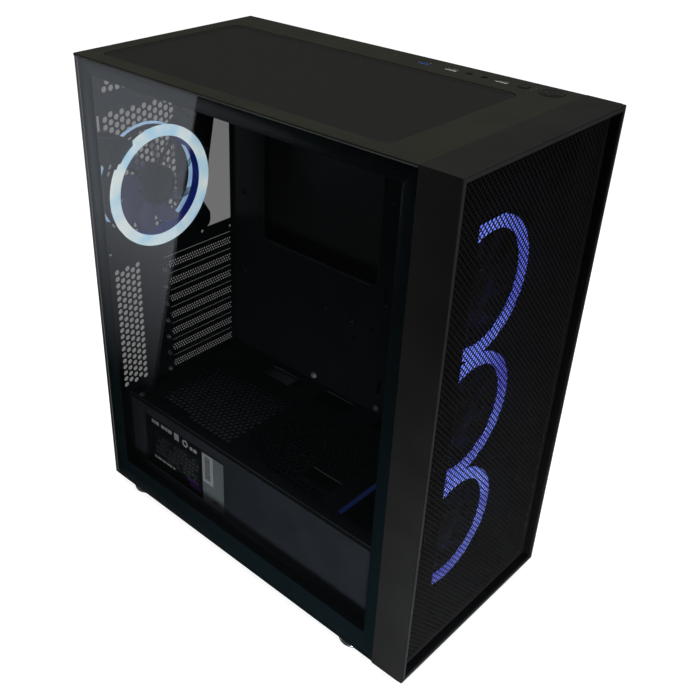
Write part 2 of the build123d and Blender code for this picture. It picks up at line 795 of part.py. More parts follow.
def rotor(name, plane, tip):
    """Hub and blades; the plane is the open face of the hub, and its normal points away from the motor."""
    edge = tip - tip_gap
    corner = (blade_tip_chord / 2 + blade_sweep) * cos(radians(blade_pitch)) + blade_sheet
    reach = sqrt(edge**2 - corner**2)
    with BuildPart() as piece:
        with BuildSketch(plane):
            RegularPolygon(hub_radius, hub_flats)
        extrude(amount=hub_depth)
        middle = plane.origin + plane.z_dir * (hub_depth / 2)
        for k in range(blade_count):
            angle = 2 * pi * k / blade_count
            out = plane.x_dir * cos(angle) + plane.y_dir * sin(angle)
            side = out.cross(plane.z_dir)
            normal = plane.z_dir * cos(radians(blade_pitch)) + side * sin(radians(blade_pitch))
            with BuildSketch(Plane(origin=middle, x_dir=out, z_dir=normal)):
                with BuildLine():
                    Polyline(
                        (blade_start, -blade_root_chord / 2),
                        (reach, blade_sweep - blade_tip_chord / 2),
                        (reach, blade_sweep + blade_tip_chord / 2),
                        (blade_start, blade_root_chord / 2),
                        close=True,
                    )
                make_face()
            extrude(amount=blade_sheet / 2, both=True)
        with BuildSketch(plane):
            Circle(shaft_radius + running)
        extrude(amount=shaft_length, mode=Mode.SUBTRACT)
    write(piece, name)


front_fans = [(front_fan_x, front_fan_y, z) for z in front_fan_zs]
rear_fan = (rear_fan_x, rear_fan_y, rear_fan_z)
all_fans = [*front_fans, rear_fan]
fan_frames("front_fan_frames", front_fans)
fan_frames("rear_fan_frame", [rear_fan])
rotor_names = [f"front_fan_rotor_{k + 1}" for k in range(front_fan_count)] + ["rear_fan_rotor"]
for name, (x, y, z) in zip(rotor_names, all_fans):
    rotor(name, facing(y + motor_face - play, x, z), duct_radius)

psu_fan_plane = Plane((*psu_middle, motor_top - motor_depth - play), x_dir=(1, 0, 0), z_dir=(0, 0, -1))
rotor("psu_fan_rotor", psu_fan_plane, psu_rotor_tip)

with BuildPart() as light_rings:
    for x, y, z in all_fans:
        with BuildSketch(facing(y, x, z)):
            Circle(ring_outer)
            Circle(ring_inner, mode=Mode.SUBTRACT)
        extrude(amount=-ring_depth)
write(light_rings, "light_rings")

# Fan screws: their heads bear on the steel, before the front wall and behind the rear panel.
with BuildPart() as fan_screws:
    for x, y, z in front_fans:
        with BuildSketch(facing(wall_y, x, z)):
            with GridLocations(fan_screw_pitch, fan_screw_pitch, 2, 2):
                RegularPolygon(screw_head_radius, 6)
        extrude(amount=screw_head)
    with BuildSketch(facing(outside_y + screw_head, rear_fan_x, rear_fan_z)):
        with GridLocations(fan_screw_pitch, fan_screw_pitch, 2, 2):
            RegularPolygon(screw_head_radius, 6)
    extrude(amount=screw_head)
write(fan_screws, "fan_screws")

# ---- side panels: a skin with rails above and below and two tabs over the rear panel ----
panel_span = (seam_y + play, rear_y - panel_inset)
panel_rise = (floor_z + panel_clear, under_top - play)
rail_span = (panel_span[0] + rail_start, panel_y)
tab_span = (outside_y, outside_y + tab_sheet)


def rails_and_tabs(side, inside):
    """Adds the rails and tabs of the panel on one side, whose inner face is that far from the middle."""
    for low in (panel_rise[0], panel_rise[1] - rail_sheet):
        block((side * inside, side * (inside - rail_reach)), rail_span, (low, low + rail_sheet))
    for z in thumb_zs:
        block(
            (side * inside, side * (side_x - tab_width)),
            tab_span,
            (z - tab_height / 2, z + tab_height / 2),
        )
    with BuildSketch(facing(tab_span[1])) as shank_holes:
        with Locations([(side * thumb_x, z) for z in thumb_zs]):
            RegularPolygon(thumb_shank_radius + play, 6)
    extrude(shank_holes.sketch, amount=tab_sheet, mode=Mode.SUBTRACT)


with BuildPart() as glass_pane:
    block((-side_x, -side_x + glass), panel_span, panel_rise)
write(glass_pane, "glass_pane")

frame_inside = side_x - glass - sheet
with BuildPart() as glass_frame:
    block((-side_x + glass, -frame_inside), panel_span, panel_rise)
    block(
        (-side_x, -side_x + 2 * glass),
        (seam_y + border_front, rear_y - border_rear),
        (panel_rise[0] + border_bottom, under_top - border_top),
        Mode.SUBTRACT,
    )
    rails_and_tabs(-1, frame_inside)
write(glass_frame, "glass_frame")

with BuildPart() as side_panel:
    block((side_x - sheet, side_x), panel_span, panel_rise)
    rails_and_tabs(1, side_x - sheet)
write(side_panel, "side_panel")

for name, side in (("glass_thumbscrews", -1), ("side_thumbscrews", 1)):
    with BuildPart() as thumbscrews:
        seats = [(side * thumb_x, z) for z in thumb_zs]
        with BuildSketch(facing(tab_span[1] + thumb_head)):
            with Locations(seats):
                RegularPolygon(thumb_head_radius, thumb_grips)
        extrude(amount=thumb_head)
        with BuildSketch(facing(tab_span[1])):
            with Locations(seats):
                RegularPolygon(thumb_shank_radius, 6)
        extrude(amount=thumb_shank)
    write(thumbscrews, name)

# ---- front bezel: a deep rim with a flange behind the mesh and six pegs ----
inner_half = side_x - bezel_wall
inner_rise = (floor_z + bezel_wall, top_z - bezel_wall)
flange_y = front_y + bezel_flange_depth
with BuildPart() as front_bezel:
    block((-side_x, side_x), (front_y, seam_y), (floor_z, top_z))
    chamfer(front_bezel.edges().group_by(Axis.Y)[0], bezel_edge)
    block((-inner_half, inner_half), (front_y, seam_y), inner_rise, Mode.SUBTRACT)
    block((-inner_half, inner_half), (wall_y - play, seam_y), (floor_z, under_top), Mode.SUBTRACT)
    block((-inner_half, inner_half), (flange_y, flange_y + bezel_flange), inner_rise)
    block(
        (bezel_window_inset - side_x, side_x - bezel_window_inset),
        (front_y, seam_y),
        (floor_z + bezel_window_end, top_z - bezel_window_end),
        Mode.SUBTRACT,
    )
    with BuildSketch(facing(flange_y + bezel_flange)):
        with Locations(pegs):
            Rectangle(peg_size, peg_size)
    extrude(amount=-(wall_y + peg_length - flange_y - bezel_flange))
write(front_bezel, "front_bezel")

with BuildPart() as front_mesh:
    mesh_y = front_y + mesh_depth
    block((-inner_half, inner_half), (mesh_y, mesh_y + mesh_sheet), inner_rise)
    for side in (-1, 1):
        rim = (side * inner_half, side * (inner_half - mesh_border))
        block(rim, (mesh_y + mesh_sheet, flange_y), inner_rise)
write(front_mesh, "front_mesh")

# ---- drive cage under the shroud, and the bracket behind the tray ----
cage_front = front_fan_y + fan_depth + cage_gap
cage_rear = cage_front + cage_depth
cage_left = -shroud_left + sheet + play
with BuildPart() as drive_cage:
    block((cage_left, tray_x), (cage_front, cage_rear), (deck_z, deck_z + cage_height))
    for low, high in ((0.0, cage_shelf), (cage_shelf + sheet, cage_height - sheet)):
        block(
            (cage_left - sheet, tray_x + sheet),
            (cage_front + sheet, cage_rear - sheet),
            (deck_z + low, deck_z + high),
            Mode.SUBTRACT,
        )
write(drive_cage, "drive_cage")

with BuildPart() as drive_bracket:
    tray_back = tray_x + sheet
    middle_y, middle_z = rear_y - bracket_from_rear, floor_z + bracket_height
    across = (middle_y - bracket_width / 2, middle_y + bracket_width / 2)
    low, high = middle_z - bracket_length / 2, middle_z + bracket_length / 2
    block((tray_back + bracket_gap, tray_back + bracket_gap + sheet), across, (low, high))
    for z in (low, high - sheet):
        block((tray_back, tray_back + bracket_gap), across, (z, z + sheet))
write(drive_bracket, "drive_bracket")

# ---- feet, their rubber pads and the bottom filter ----
foot_ys = (rear_y - foot_rear, front_y + foot_front)
feet_places = [(side * (side_x - foot_inset), y) for side in (-1, 1) for y in foot_ys]
with BuildPart() as feet:
    for x, y in feet_places:
        for z, radius in ((pad_drop, foot_radius), (foot_height, foot_waist)):
            with BuildSketch(Plane((x, y, z))):
                RegularPolygon(radius, foot_flats)
        loft(ruled=True)
write(feet, "feet")

with BuildPart() as foot_pads:
    with BuildSketch():
        with Locations(feet_places):
            RegularPolygon(pad_radius, pad_flats)
    extrude(amount=pad_drop)
write(foot_pads, "foot_pads")

dust_z = floor_z - play - dust_thickness
with BuildPart() as bottom_filter:
    block((-dust_width / 2, dust_width / 2), (dust_front, outside_y), (dust_z, dust_z + dust_thickness))
    block(
        (-dust_width / 2 + dust_border, dust_width / 2 - dust_border),
        (dust_front + dust_border, outside_y - dust_border),
        (dust_z, dust_z + dust_thickness / 2),
        Mode.SUBTRACT,
    )
    block(
        (-handle_width / 2, handle_width / 2),
        (outside_y, rear_y),
        (dust_z - dust_rail, dust_z + dust_thickness),
    )
write(bottom_filter, "bottom_filter")
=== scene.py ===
import math
import random

import bmesh
import bpy
from mathutils import Matrix, Vector


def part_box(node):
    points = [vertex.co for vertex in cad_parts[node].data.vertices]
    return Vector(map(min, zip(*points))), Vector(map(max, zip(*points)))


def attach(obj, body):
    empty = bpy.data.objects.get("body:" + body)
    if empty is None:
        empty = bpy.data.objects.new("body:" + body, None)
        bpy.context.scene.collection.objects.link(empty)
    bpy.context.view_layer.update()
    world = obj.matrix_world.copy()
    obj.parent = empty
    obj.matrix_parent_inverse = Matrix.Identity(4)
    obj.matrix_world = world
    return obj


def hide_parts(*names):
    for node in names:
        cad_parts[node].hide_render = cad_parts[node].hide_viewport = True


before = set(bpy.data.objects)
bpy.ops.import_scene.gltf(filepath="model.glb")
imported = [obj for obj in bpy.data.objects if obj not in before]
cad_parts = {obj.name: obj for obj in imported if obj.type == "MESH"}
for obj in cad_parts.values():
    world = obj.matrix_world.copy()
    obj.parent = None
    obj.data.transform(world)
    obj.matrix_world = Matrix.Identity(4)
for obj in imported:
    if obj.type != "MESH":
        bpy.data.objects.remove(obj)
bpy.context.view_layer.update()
unit = 0.001  # shapes are drawn in millimetres
dice = random.Random(7)
print("frame loaded:", len(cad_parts), "nodes")


def middleOf(one, two):
    return [(a + b) / 2 for a, b in zip(one, two)]


# Shader expressions
class Wire:  # a socket that takes part in an expression
    def __init__(self, finish, socket):
        self.finish, self.socket = finish, socket

    def maths(self, operation, other, swap=False):
        pair = (other, self) if swap else (self, other)
        return self.finish.node("Math", {"operation": operation}, dict(enumerate(pair)))

    def __add__(self, other):
        return self.maths("ADD", other)

    def __radd__(self, other):
        return self.maths("ADD", other, True)

    def __sub__(self, other):
        return self.maths("SUBTRACT", other)

    def __rsub__(self, other):
        return self.maths("SUBTRACT", other, True)

    def __mul__(self, other):
        return self.maths("MULTIPLY", other)

    def __rmul__(self, other):
        return self.maths("MULTIPLY", other, True)

    def __truediv__(self, other):
        return self.maths("DIVIDE", other)

    def __gt__(self, other):
        return self.maths("GREATER_THAN", other)

    def __lt__(self, other):
        return self.maths("LESS_THAN", other)


class Finish:  # one material and the nodes in it
    def __init__(self, name, tree=None):
        self.material = None if tree else bpy.data.materials.new(name)
        if self.material:
            self.material.use_nodes = True
        self.tree = tree or self.material.node_tree
        self.tree.nodes.clear()
        self.place = self.node("TexCoord", output="Object")

    def node(self, kind, settings=None, inputs=None, output=0):
        made = self.tree.nodes.new("ShaderNode" + kind)
        for key, value in (settings or {}).items():
            setattr(made, key, value)
        for key, value in (inputs or {}).items():
            if isinstance(value, Wire):
                self.tree.links.new(value.socket, made.inputs[key])
            else:
                socket = made.inputs[key]
                socket.default_value = (*value, 1) if socket.type == "RGBA" else value
        return Wire(self, made.outputs[output]) if len(made.outputs) else None

    def mix(self, factor, first, second):  # colours, in the Mix node's colour sockets
        return self.node("Mix", {"data_type": "RGBA"}, {0: factor, 6: first, 7: second}, 2)

    def noise(self, size, detail=3.0, rough=0.55):  # size is that of a grain, in mm
        inputs = {"Vector": self.place, "Scale": 1 / (size * unit), "Detail": detail, "Roughness": rough}
        return self.node("TexNoise", None, inputs)

    def span(self, value, low, high, toLow=0.0, toHigh=1.0):
        inputs = {"Value": value, "From Min": low, "From Max": high, "To Min": toLow, "To Max": toHigh}
        return self.node("MapRange", None, inputs)

    def wires(self, kind, inputs, names):  # several outputs of one node
        first = self.node(kind, None, inputs)
        return [Wire(self, first.socket.node.outputs[name]) for name in names]

    def axes(self):  # x, y and z of a point, in metres
        return self.wires("SeparateXYZ", {0: self.place}, "XYZ")

    def rays(self):  # whether the ray is the camera's, from gloss or through glass, and what it has crossed
        return self.wires(
            "LightPath", None, ("Is Camera Ray", "Is Glossy Ray", "Is Transmission Ray", "Transparent Depth")
        )

    def bump(self, height, depth, strength=1.0):  # depth in mm
        return self.node("Bump", None, {"Height": height, "Distance": depth * unit, "Strength": strength})

    def shade(self, **sockets):
        sockets = {name.replace("_", " "): value for name, value in sockets.items()}
        self.node("OutputMaterial", None, {0: self.node("BsdfPrincipled", None, sockets)})
        return self.material


def tone(colour, factor):
    return tuple(part * factor for part in colour)


# Coated steel and moulded plastic: a fine grain in relief, a slow drift of tone, and a little dust.
# Each has its colour, roughness, size and depth of grain in mm, drift of tone, and gloss where it isn't 0.5.
coatings = {
    "blackSteel": ((0.0062, 0.0082, 0.0098), 0.48, 0.45, 0.012, 0.16, 0.25),
    "outerSteel": ((0.0195, 0.0198, 0.0152), 0.56, 0.40, 0.010, 0.10, 0.2),
    "sideSteel": ((0.0125, 0.0130, 0.0128), 0.48, 0.42, 0.011, 0.12),
    "borderPaint": ((0.0075, 0.0165, 0.0200), 0.30, 0.9, 0.002, 0.05),
    "bezelPlastic": ((0.0138, 0.0140, 0.0128), 0.44, 0.32, 0.008, 0.12, 0.3),
    # A darker copy of the bezel's plastic: painted shade on the bezel's inner flanges and throat; also used
    # for the front wall and the dark power mark.
    "innerShadeAndMarkPlastic": ((0.0030, 0.0032, 0.0040), 0.60, 0.45, 0.010, 0.16, 0.1),
    # Pale finishes for thin strips of painted highlight along edges; the tray's rivets also take the steel
    # one.
    "paleHighlightSteel": ((0.0900, 0.0940, 0.0960), 0.50, 0.45, 0.004, 0.10, 0.3),
    "paleHighlightPlastic": ((0.0480, 0.0490, 0.0540), 0.50, 0.45, 0.004, 0.10, 0.3),
    "meshSteel": ((0.0195, 0.0195, 0.0180), 0.42, 0.25, 0.006, 0.10, 0.3),
    "fanPlastic": ((0.0045, 0.0047, 0.0054), 0.50, 0.30, 0.010, 0.10, 0.25),
    "bladePlastic": ((0.0120, 0.0124, 0.0135), 0.40, 0.40, 0.006, 0.10),
    "supplySteel": ((0.0085, 0.0090, 0.0095), 0.52, 0.70, 0.020, 0.12, 0.3),
    "paleSteel": ((0.1700, 0.2100, 0.2300), 0.50, 0.60, 0.008, 0.10),
    "buttonPlastic": ((0.0160, 0.0160, 0.0148), 0.36, 0.30, 0.004, 0.06),
    "socketPlastic": ((0.0090, 0.0090, 0.0090), 0.45, 0.35, 0.006, 0.06),
    "rubber": ((0.0120, 0.0118, 0.0112), 0.82, 0.50, 0.030, 0.15),
    "blueTongue": ((0.030, 0.110, 0.560), 0.40, 0.30, 0.003, 0.05),
    "whiteTongue": ((0.620, 0.600, 0.540), 0.42, 0.30, 0.003, 0.05),
    "boardLacquer": ((0.0060, 0.0260, 0.0120), 0.34, 1.20, 0.006, 0.30),
    "paperLabel": ((0.0070, 0.0080, 0.0085), 0.55, 0.50, 0.003, 0.06, 0.3),
    "labelPrint": ((0.5200, 0.5400, 0.5500), 0.60, 0.25, 0.002, 0.20),
    "labelFaint": ((0.0850, 0.0950, 0.0950), 0.60, 0.25, 0.002, 0.30),
    "labelPurple": ((0.0650, 0.0120, 0.1300), 0.60, 0.25, 0.002, 0.20),
    "stickerPaper": ((0.2100, 0.2500, 0.2500), 0.60, 0.60, 0.004, 0.10),
    "stickerWhite": ((0.5600, 0.6000, 0.6100), 0.55, 0.60, 0.003, 0.05),
    # A paler copy of blackSteel: painted light for the light that falls on the shroud's side wall through the
    # glass.
    "paintedLitShroudSteel": ((0.0390, 0.0440, 0.0530), 0.46, 0.45, 0.012, 0.16, 0.25),
    "stickerPrint": ((0.0400, 0.0440, 0.0480), 0.60, 0.30, 0.002, 0.20),
}
metals = {
    "portSteel": ((0.56, 0.55, 0.52), 0.28, 0.30, 0.002, 0.12),
    "screwSteel": ((0.60, 0.60, 0.58), 0.30, 0.50, 0.004, 0.18),
    "thumbSteel": ((0.045, 0.045, 0.047), 0.36, 0.30, 0.004, 0.15),
    "footChrome": ((0.62, 0.63, 0.64), 0.20, 0.60, 0.002, 0.08),
    "goldContact": ((0.75, 0.52, 0.20), 0.25, 0.30, 0.001, 0.08),
}


def coated(name, colour, rough, grain, depth, drift, gloss=0.5, metallic=0.0):
    finish = Finish(name)
    slow = finish.noise(38.0, 2.0)
    fine = finish.noise(grain, 4.0, 0.6)
    dust = finish.span(finish.noise(2.6, 6.0, 0.75), 0.66, 0.78)
    shade = finish.mix(finish.span(slow, 0.3, 0.7), tone(colour, 1 - drift), tone(colour, 1 + drift))
    shade = finish.mix(finish.span(fine, 0.35, 0.65, 0.0, 0.25), shade, tone(colour, 1.5))
    paleDust = tuple(min(1.0, part * 1.25 + 0.004) for part in colour)
    shade = finish.mix(dust * 0.35, shade, paleDust)
    roughness = rough + (slow - 0.5) * 0.10 + (fine - 0.5) * 0.12 + dust * 0.08
    return finish.shade(
        Base_Color=shade, Metallic=metallic, Roughness=roughness, Specular_IOR_Level=gloss,
        Normal=finish.bump(fine, depth),
    )


finishes = {name: coated(name, *values) for name, values in coatings.items()}
finishes |= {name: coated(name, *values, metallic=1.0) for name, values in metals.items()}


def wovenMesh(name, colour, pitch, thread):  # a fine net: threads over and under, dark between
    finish = Finish(name)
    waves = []
    for along in finish.axes()[:2]:
        phase = finish.node("Math", {"operation": "SINE"}, {0: along * (math.tau / (pitch * unit))})
        waves.append(phase * 0.5 + 0.5)
    weave = finish.node("Math", {"operation": "MAXIMUM"}, dict(enumerate(waves)))
    slow = finish.noise(60.0, 3.0)
    threads = finish.span(weave, 1 - thread, 1.0)
    shade = finish.mix(threads, tone(colour, 0.35), tone(colour, 1.25))
    shade = finish.mix(finish.span(slow, 0.35, 0.65, 0.0, 0.4), shade, tone(colour, 0.8))
    rough = 0.62 - threads * 0.12
    return finish.shade(Base_Color=shade, Roughness=rough, Normal=finish.bump(weave, 0.15, 0.8))


def glowing(name, colour, strength, spots, body=(0.5, 0.5, 0.52), faded=None):
    # Frosted plastic over a strip of diodes: brighter at each diode, bluer between them. The same glow also
    # paints light where there is no lamp: the blue on the shroud's flange, and the light in the rear fan's
    # duct.
    finish = Finish(name)
    patches = finish.span(finish.noise(spots, 1.0), 0.35, 0.65)
    light = finish.mix(patches, faded or tone(colour, 0.72), colour)
    return finish.shade(Base_Color=body, Roughness=0.4, Emission_Color=light, Emission_Strength=strength)


glows = {
    "frontGlow": dict(colour=(0.14, 0.22, 1.0), strength=0.95, spots=90.0, faded=(0.030, 0.040, 0.62)),
    "rearGlow": dict(colour=(0.80, 0.88, 0.87), strength=1.15, spots=22.0, faded=(0.42, 0.72, 0.92)),
    # The glow of the back arc, and painted light on the duct's inner wall.
    "backGlow": dict(colour=(0.36, 0.60, 0.90), strength=1.0, spots=20.0),
    # Painted light in the rear fan's duct, glowing where there is no lamp.
    "paintedDuctGlow": dict(colour=(0.010, 0.030, 0.40), strength=0.34, spots=30.0, body=(0.004, 0.006, 0.03)),
    "clearPlastic": dict(colour=(0.7, 0.8, 1.0), strength=0.02, spots=2.0, body=(0.05, 0.05, 0.06)),
    # Painted blue light on the shroud's flange, glowing where there is no lamp.
    "paintedBlueLight": dict(colour=(0.008, 0.016, 0.080), strength=0.75, spots=30.0, body=(0.006, 0.008, 0.012)),
}


def tintedGlass(low, high):
    finish = Finish("tintedGlass")
    smears = finish.noise(90.0, 3.0)
    x = finish.axes()[0]
    ground = (x > low.x + 0.3 * unit) * (x < high.x - 0.3 * unit)  # the four narrow edges
    return finish.shade(
        Base_Color=finish.mix(ground, (0.002, 0.003, 0.003), (0.010, 0.016, 0.017)),
        Roughness=finish.span(smears, 0.3, 0.7, 0.012, 0.03) + ground * 0.3,
        IOR=1.9,
        Specular_IOR_Level=1.0,
        Alpha=0.25 + ground * 0.7,
    )


def smokedPlastic(name, centre, reach, thin, thick):
    # Smoked blades that are denser towards the lower left of the centre, with a painted blue glow there for
    # the ring's light.
    finish = Finish(name)
    slow = finish.noise(30.0, 2.0)
    x, _, z = finish.axes()
    lower = ((centre[0] - x) * 0.7 + (centre[1] - z) * 0.7) / reach
    dense = finish.span(lower, -0.35, 0.25)
    return finish.shade(
        Base_Color=finish.mix(slow, (0.008, 0.009, 0.012), (0.014, 0.015, 0.020)),
        Roughness=slow * 0.1 + 0.3,
        Alpha=dense * (thick - thin) + thin,
        Emission_Color=finish.mix(dense, (0.0, 0.0, 0.0), (0.030, 0.028, 0.110)),
        Emission_Strength=0.5,
    )


finishes["filterWeave"] = wovenMesh("filterWeave", (0.0165, 0.0170, 0.0155), 0.9, 0.45)
finishes |= {name: glowing(name, **values) for name, values in glows.items()}
finishes["tintedGlass"] = tintedGlass(*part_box("glass_pane"))
finishes["smokedPlastic"] = smokedPlastic("smokedPlastic", (0.0, 0.0), 1.0, 0.36, 0.36)
rearFanPlace = middleOf(*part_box("rear_fan_frame"))
finishes["litPlastic"] = smokedPlastic("litPlastic", rearFanPlace[::2], 0.049, 0.34, 0.92)
print("finishes made:", len(finishes))


# Shapes
def facing(right, up, out):  # a turn by where its own right, up and outward axes point
    turn = Matrix((right, up, out)).transposed()
    return turn.to_4x4()


facingUp = Matrix.Identity(4)
facingDown = Matrix.Rotation(math.pi, 4, "X")
facingFront = facing((1, 0, 0), (0, 0, 1), (0, -1, 0))
facingRear = facing((-1, 0, 0), (0, 0, 1), (0, 1, 0))
facingSide = facing((0, 1, 0), (0, 0, 1), (1, 0, 0))
facingLeft = facing((0, -1, 0), (0, 0, 1), (-1, 0, 0))
facingBack = facing((1, 0, 0), (0, 0, 1), (0, 1, 0))  # as facingFront, with its height along +y


def at(x, y, z, turn=facingUp):
    return Matrix.Translation((x, y, z)) @ turn


def ring(x, y, radius, count, start=0.0):
    turns = [start + math.tau * k / count for k in range(count)]
    return [(x + radius * math.cos(turn), y + radius * math.sin(turn)) for turn in turns]


def rounded(left, low, right, high, radius=0.0, steps=4):
    if radius <= 0:
        return [(left, low), (right, low), (right, high), (left, high)]
    middles = (
        (right - radius, high - radius), (left + radius, high - radius),
        (left + radius, low + radius), (right - radius, low + radius),
    )
    points = []
    for quarter, (x, y) in enumerate(middles):
        for k in range(steps + 1):
            angle = math.pi / 2 * (quarter + k / steps)
            points.append((x + radius * math.cos(angle), y + radius * math.sin(angle)))
    return points


def oblong(low, high, inset=0.0, radius=0.0, steps=4):  # inset from each side of a box
    return rounded(low[0] + inset, low[1] + inset, high[0] - inset, high[1] - inset, radius, steps)


def honeycomb(left, low, right, high, pitch):  # middles of staggered holes, in upright columns
    step = pitch * math.sqrt(3) / 2
    points = []
    for i in range(int((right - left) / step + 1.001)):
        y = low + (pitch / 2 if i % 2 else 0)
        while y <= high + 0.01:
            points.append((left + i * step, y))
            y += pitch
    return points


class Shape:  # a mesh that is put together from blocks, cut sheets and turned forms
    def __init__(self):
        self.mesh = bmesh.new()

    def block(self, low, high, bevel=0.0, steps=2):
        low, high = Vector(low), Vector(high)
        size = [abs(part) for part in high - low]
        matrix = Matrix.Translation((low + high) / 2) @ Matrix.Diagonal((*size, 1))
        made = bmesh.ops.create_cube(self.mesh, size=1, matrix=matrix)
        if bevel:
            edges = list({edge for vertex in made["verts"] for edge in vertex.link_edges})
            done = bmesh.ops.bevel(
                self.mesh, geom=edges, offset=min(bevel, *[part * 0.45 for part in size]),
                segments=steps, profile=0.5, affect="EDGES",
            )
            for face in done["faces"]:
                face.smooth = True
        return self

    def sheet(self, outline, holes, thick, place, edge=0.0):
        # A sheet with holes: its front face is on the place's plane, and it goes back from there.
        curve = bpy.data.curves.new("cut", "CURVE")
        curve.dimensions, curve.fill_mode = "2D", "BOTH"
        curve.extrude = thick / 2 - edge
        curve.bevel_depth, curve.bevel_resolution, curve.offset = edge, 1, -edge
        for points in (outline, *holes):
            spline = curve.splines.new("POLY")
            spline.points.add(len(points) - 1)
            spline.points.foreach_set("co", [part for x, y in points for part in (x, y, 0, 1)])
            spline.use_cyclic_u = True
        holder = bpy.data.objects.new("cut", curve)
        made = bpy.data.meshes.new_from_object(holder)
        made.transform(place @ Matrix.Translation((0, 0, -thick / 2)))
        if edge:
            made.polygons.foreach_set("use_smooth", [True] * len(made.polygons))
        self.mesh.from_mesh(made)
        bpy.data.objects.remove(holder)
        bpy.data.curves.remove(curve)
        bpy.data.meshes.remove(made)
        return self

    def turned(self, profile, place, count=32, sweep=math.tau, start=0.0):
        # A profile of (radius, height) turned about the place's own axis.
        closed = abs(sweep - math.tau) < 1e-6
        turns = count if closed else count + 1
        rows = []
        for k in range(turns):
            angle = start + sweep * k / count
            row = []
            for radius, height in profile:
                if radius < 1e-6 and k:
                    row.append(rows[0][len(row)])
                else:
                    point = Vector((radius * math.cos(angle), radius * math.sin(angle), height))
                    row.append(self.mesh.verts.new(place @ point))
            rows.append(row)
        for k in range(count):
            one, two = rows[k], rows[(k + 1) % turns]
            for i in range(len(profile) - 1):
                face = list(dict.fromkeys((one[i], two[i], two[i + 1], one[i + 1])))
                if len(face) > 2:
                    self.mesh.faces.new(face).smooth = True
        if not closed:
            for row in (rows[0], rows[-1][::-1]):
                if len(set(row)) > 2:
                    self.mesh.faces.new(row)
        return self

    def tube(self, inner, outer, low, high, place, count, sweep=math.tau, start=0.0):
        profile = [(inner, low), (inner, high), (outer, high), (outer, low), (inner, low)]
        return self.turned(profile, place, count, sweep, start)

    def grid(self, rows, loop=False, smooth=True, ends=(False, False)):
        # A skin over rows of points, whose first and last row may be closed.
        made = [[self.mesh.verts.new(point) for point in row] for row in rows]
        for one, two in zip(made, made[1:]):
            count = len(one)
            for i in range(count if loop else count - 1):
                n = (i + 1) % count
                self.mesh.faces.new((one[i], one[n], two[n], two[i])).smooth = smooth
        for closed, row in zip(ends, (made[0][::-1], made[-1])):
            if closed:
                self.mesh.faces.new(row)
        return self

    def hoop(self, low, high, profile):
        # An oblong frame that stands upright: each step has its inset, its y and its corners.
        rows = []
        for inset, y, *corner in profile:
            rows.append([(x, y, z) for x, z in oblong(low, high, inset, *corner)])
        return self.grid(rows, loop=True, smooth=False)

    def piece(self, name, body, slot, finish, replaces=(), sharp=38.0):
        bmesh.ops.remove_doubles(self.mesh, verts=self.mesh.verts, dist=1e-4)
        bmesh.ops.recalc_face_normals(self.mesh, faces=self.mesh.faces)
        bmesh.ops.scale(self.mesh, vec=(unit,) * 3, verts=self.mesh.verts)
        data = bpy.data.meshes.new(name)
        self.mesh.to_mesh(data)
        self.mesh.free()
        data.set_sharp_from_angle(angle=math.radians(sharp))
        data.materials.append(finishes[finish])
        made = bpy.data.objects.new(name, data)
        bpy.context.scene.collection.objects.link(made)
        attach(made, body)
        if replaces:
            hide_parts(*replaces)
        return made


screwHead = ((0.30, 0.55), (0.55, 0.96), (0.78, 0.86), (0.95, 0.55), (1.0, 0.2), (1.0, 0.0), (0.0, 0.0))
crossRecess = {"reach": 0.62, "half": 0.14, "top": 0.93, "floor": 0.35, "taper": 0.7}


def crossScrew(shape, place, radius, height, shank=0.0):
    # A pan head with a cross recess: its face is up the place's axis.
    shape.turned([(radius * part, height * level) for part, level in screwHead], place, 24)
    reach, half = radius * crossRecess["reach"], radius * crossRecess["half"]
    outline = []
    for k in range(4):
        turn = Matrix.Rotation(math.pi / 2 * k, 2)
        outline += [turn @ Vector(point) for point in ((reach, -half), (reach, half), (half, half))]
    levels = ((1.0, height * crossRecess["top"]), (crossRecess["taper"], height * crossRecess["floor"]))
    rows = [[place @ Vector((x * part, y * part, level)) for x, y in outline] for part, level in levels]
    shape.grid(rows, loop=True, smooth=False, ends=(False, True))
    if shank:
        shape.turned([(0, -shank), (radius * 0.42, -shank), (radius * 0.42, 0.05)], place, 14)


# Measures of the CAD nodes, in millimetres
def boxOf(node):
    low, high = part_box(node)
    return low / unit, high / unit


def pointsOf(node):
    return [vertex.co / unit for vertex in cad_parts[node].data.vertices]


def corners(points):
    return tuple(Vector([pick(point[i] for point in points) for i in range(3)]) for pick in (min, max))


def keysOf(data, face):  # the same key for every vertex in one place
    return [tuple(round(part, 6) for part in data.vertices[index].co) for index in face.vertices]


def groupsOf(links):  # keys that are linked, directly or through others
    left = set(links)
    while left:
        group, edge = [], [min(left)]
        while edge:
            key = edge.pop()
            if key in left:
                left.discard(key)
                group.append(key)
                edge += links[key]
        yield group


def solidBoxes(node):  # the boxes of a node's separate solids
    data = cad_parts[node].data
    places, links = {}, {}
    for face in data.polygons:
        keys = keysOf(data, face)
        places.update(zip(keys, (data.vertices[index].co / unit for index in face.vertices)))
        for key in keys:
            links.setdefault(key, set()).update(keys)
    boxes = [corners([places[key] for key in group]) for group in groupsOf(links)]
    return sorted(boxes, key=lambda box: tuple(box[0]))


def edgeLoops(node, level):  # the boxes of the closed outlines in the face of a node at this x
    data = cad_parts[node].data
    uses, links = {}, {}
    for face in data.polygons:
        keys = keysOf(data, face)
        if all(abs(key[0] / unit - level) < 0.01 for key in keys):
            for pair in zip(keys, keys[1:] + keys[:1]):
                uses[frozenset(pair)] = uses.get(frozenset(pair), 0) + 1
    for pair, count in uses.items():
        if count == 1:
            one, two = tuple(pair)
            links.setdefault(one, []).append(two)
            links.setdefault(two, []).append(one)
    return [corners([Vector(key) / unit for key in group]) for group in groupsOf(links)]


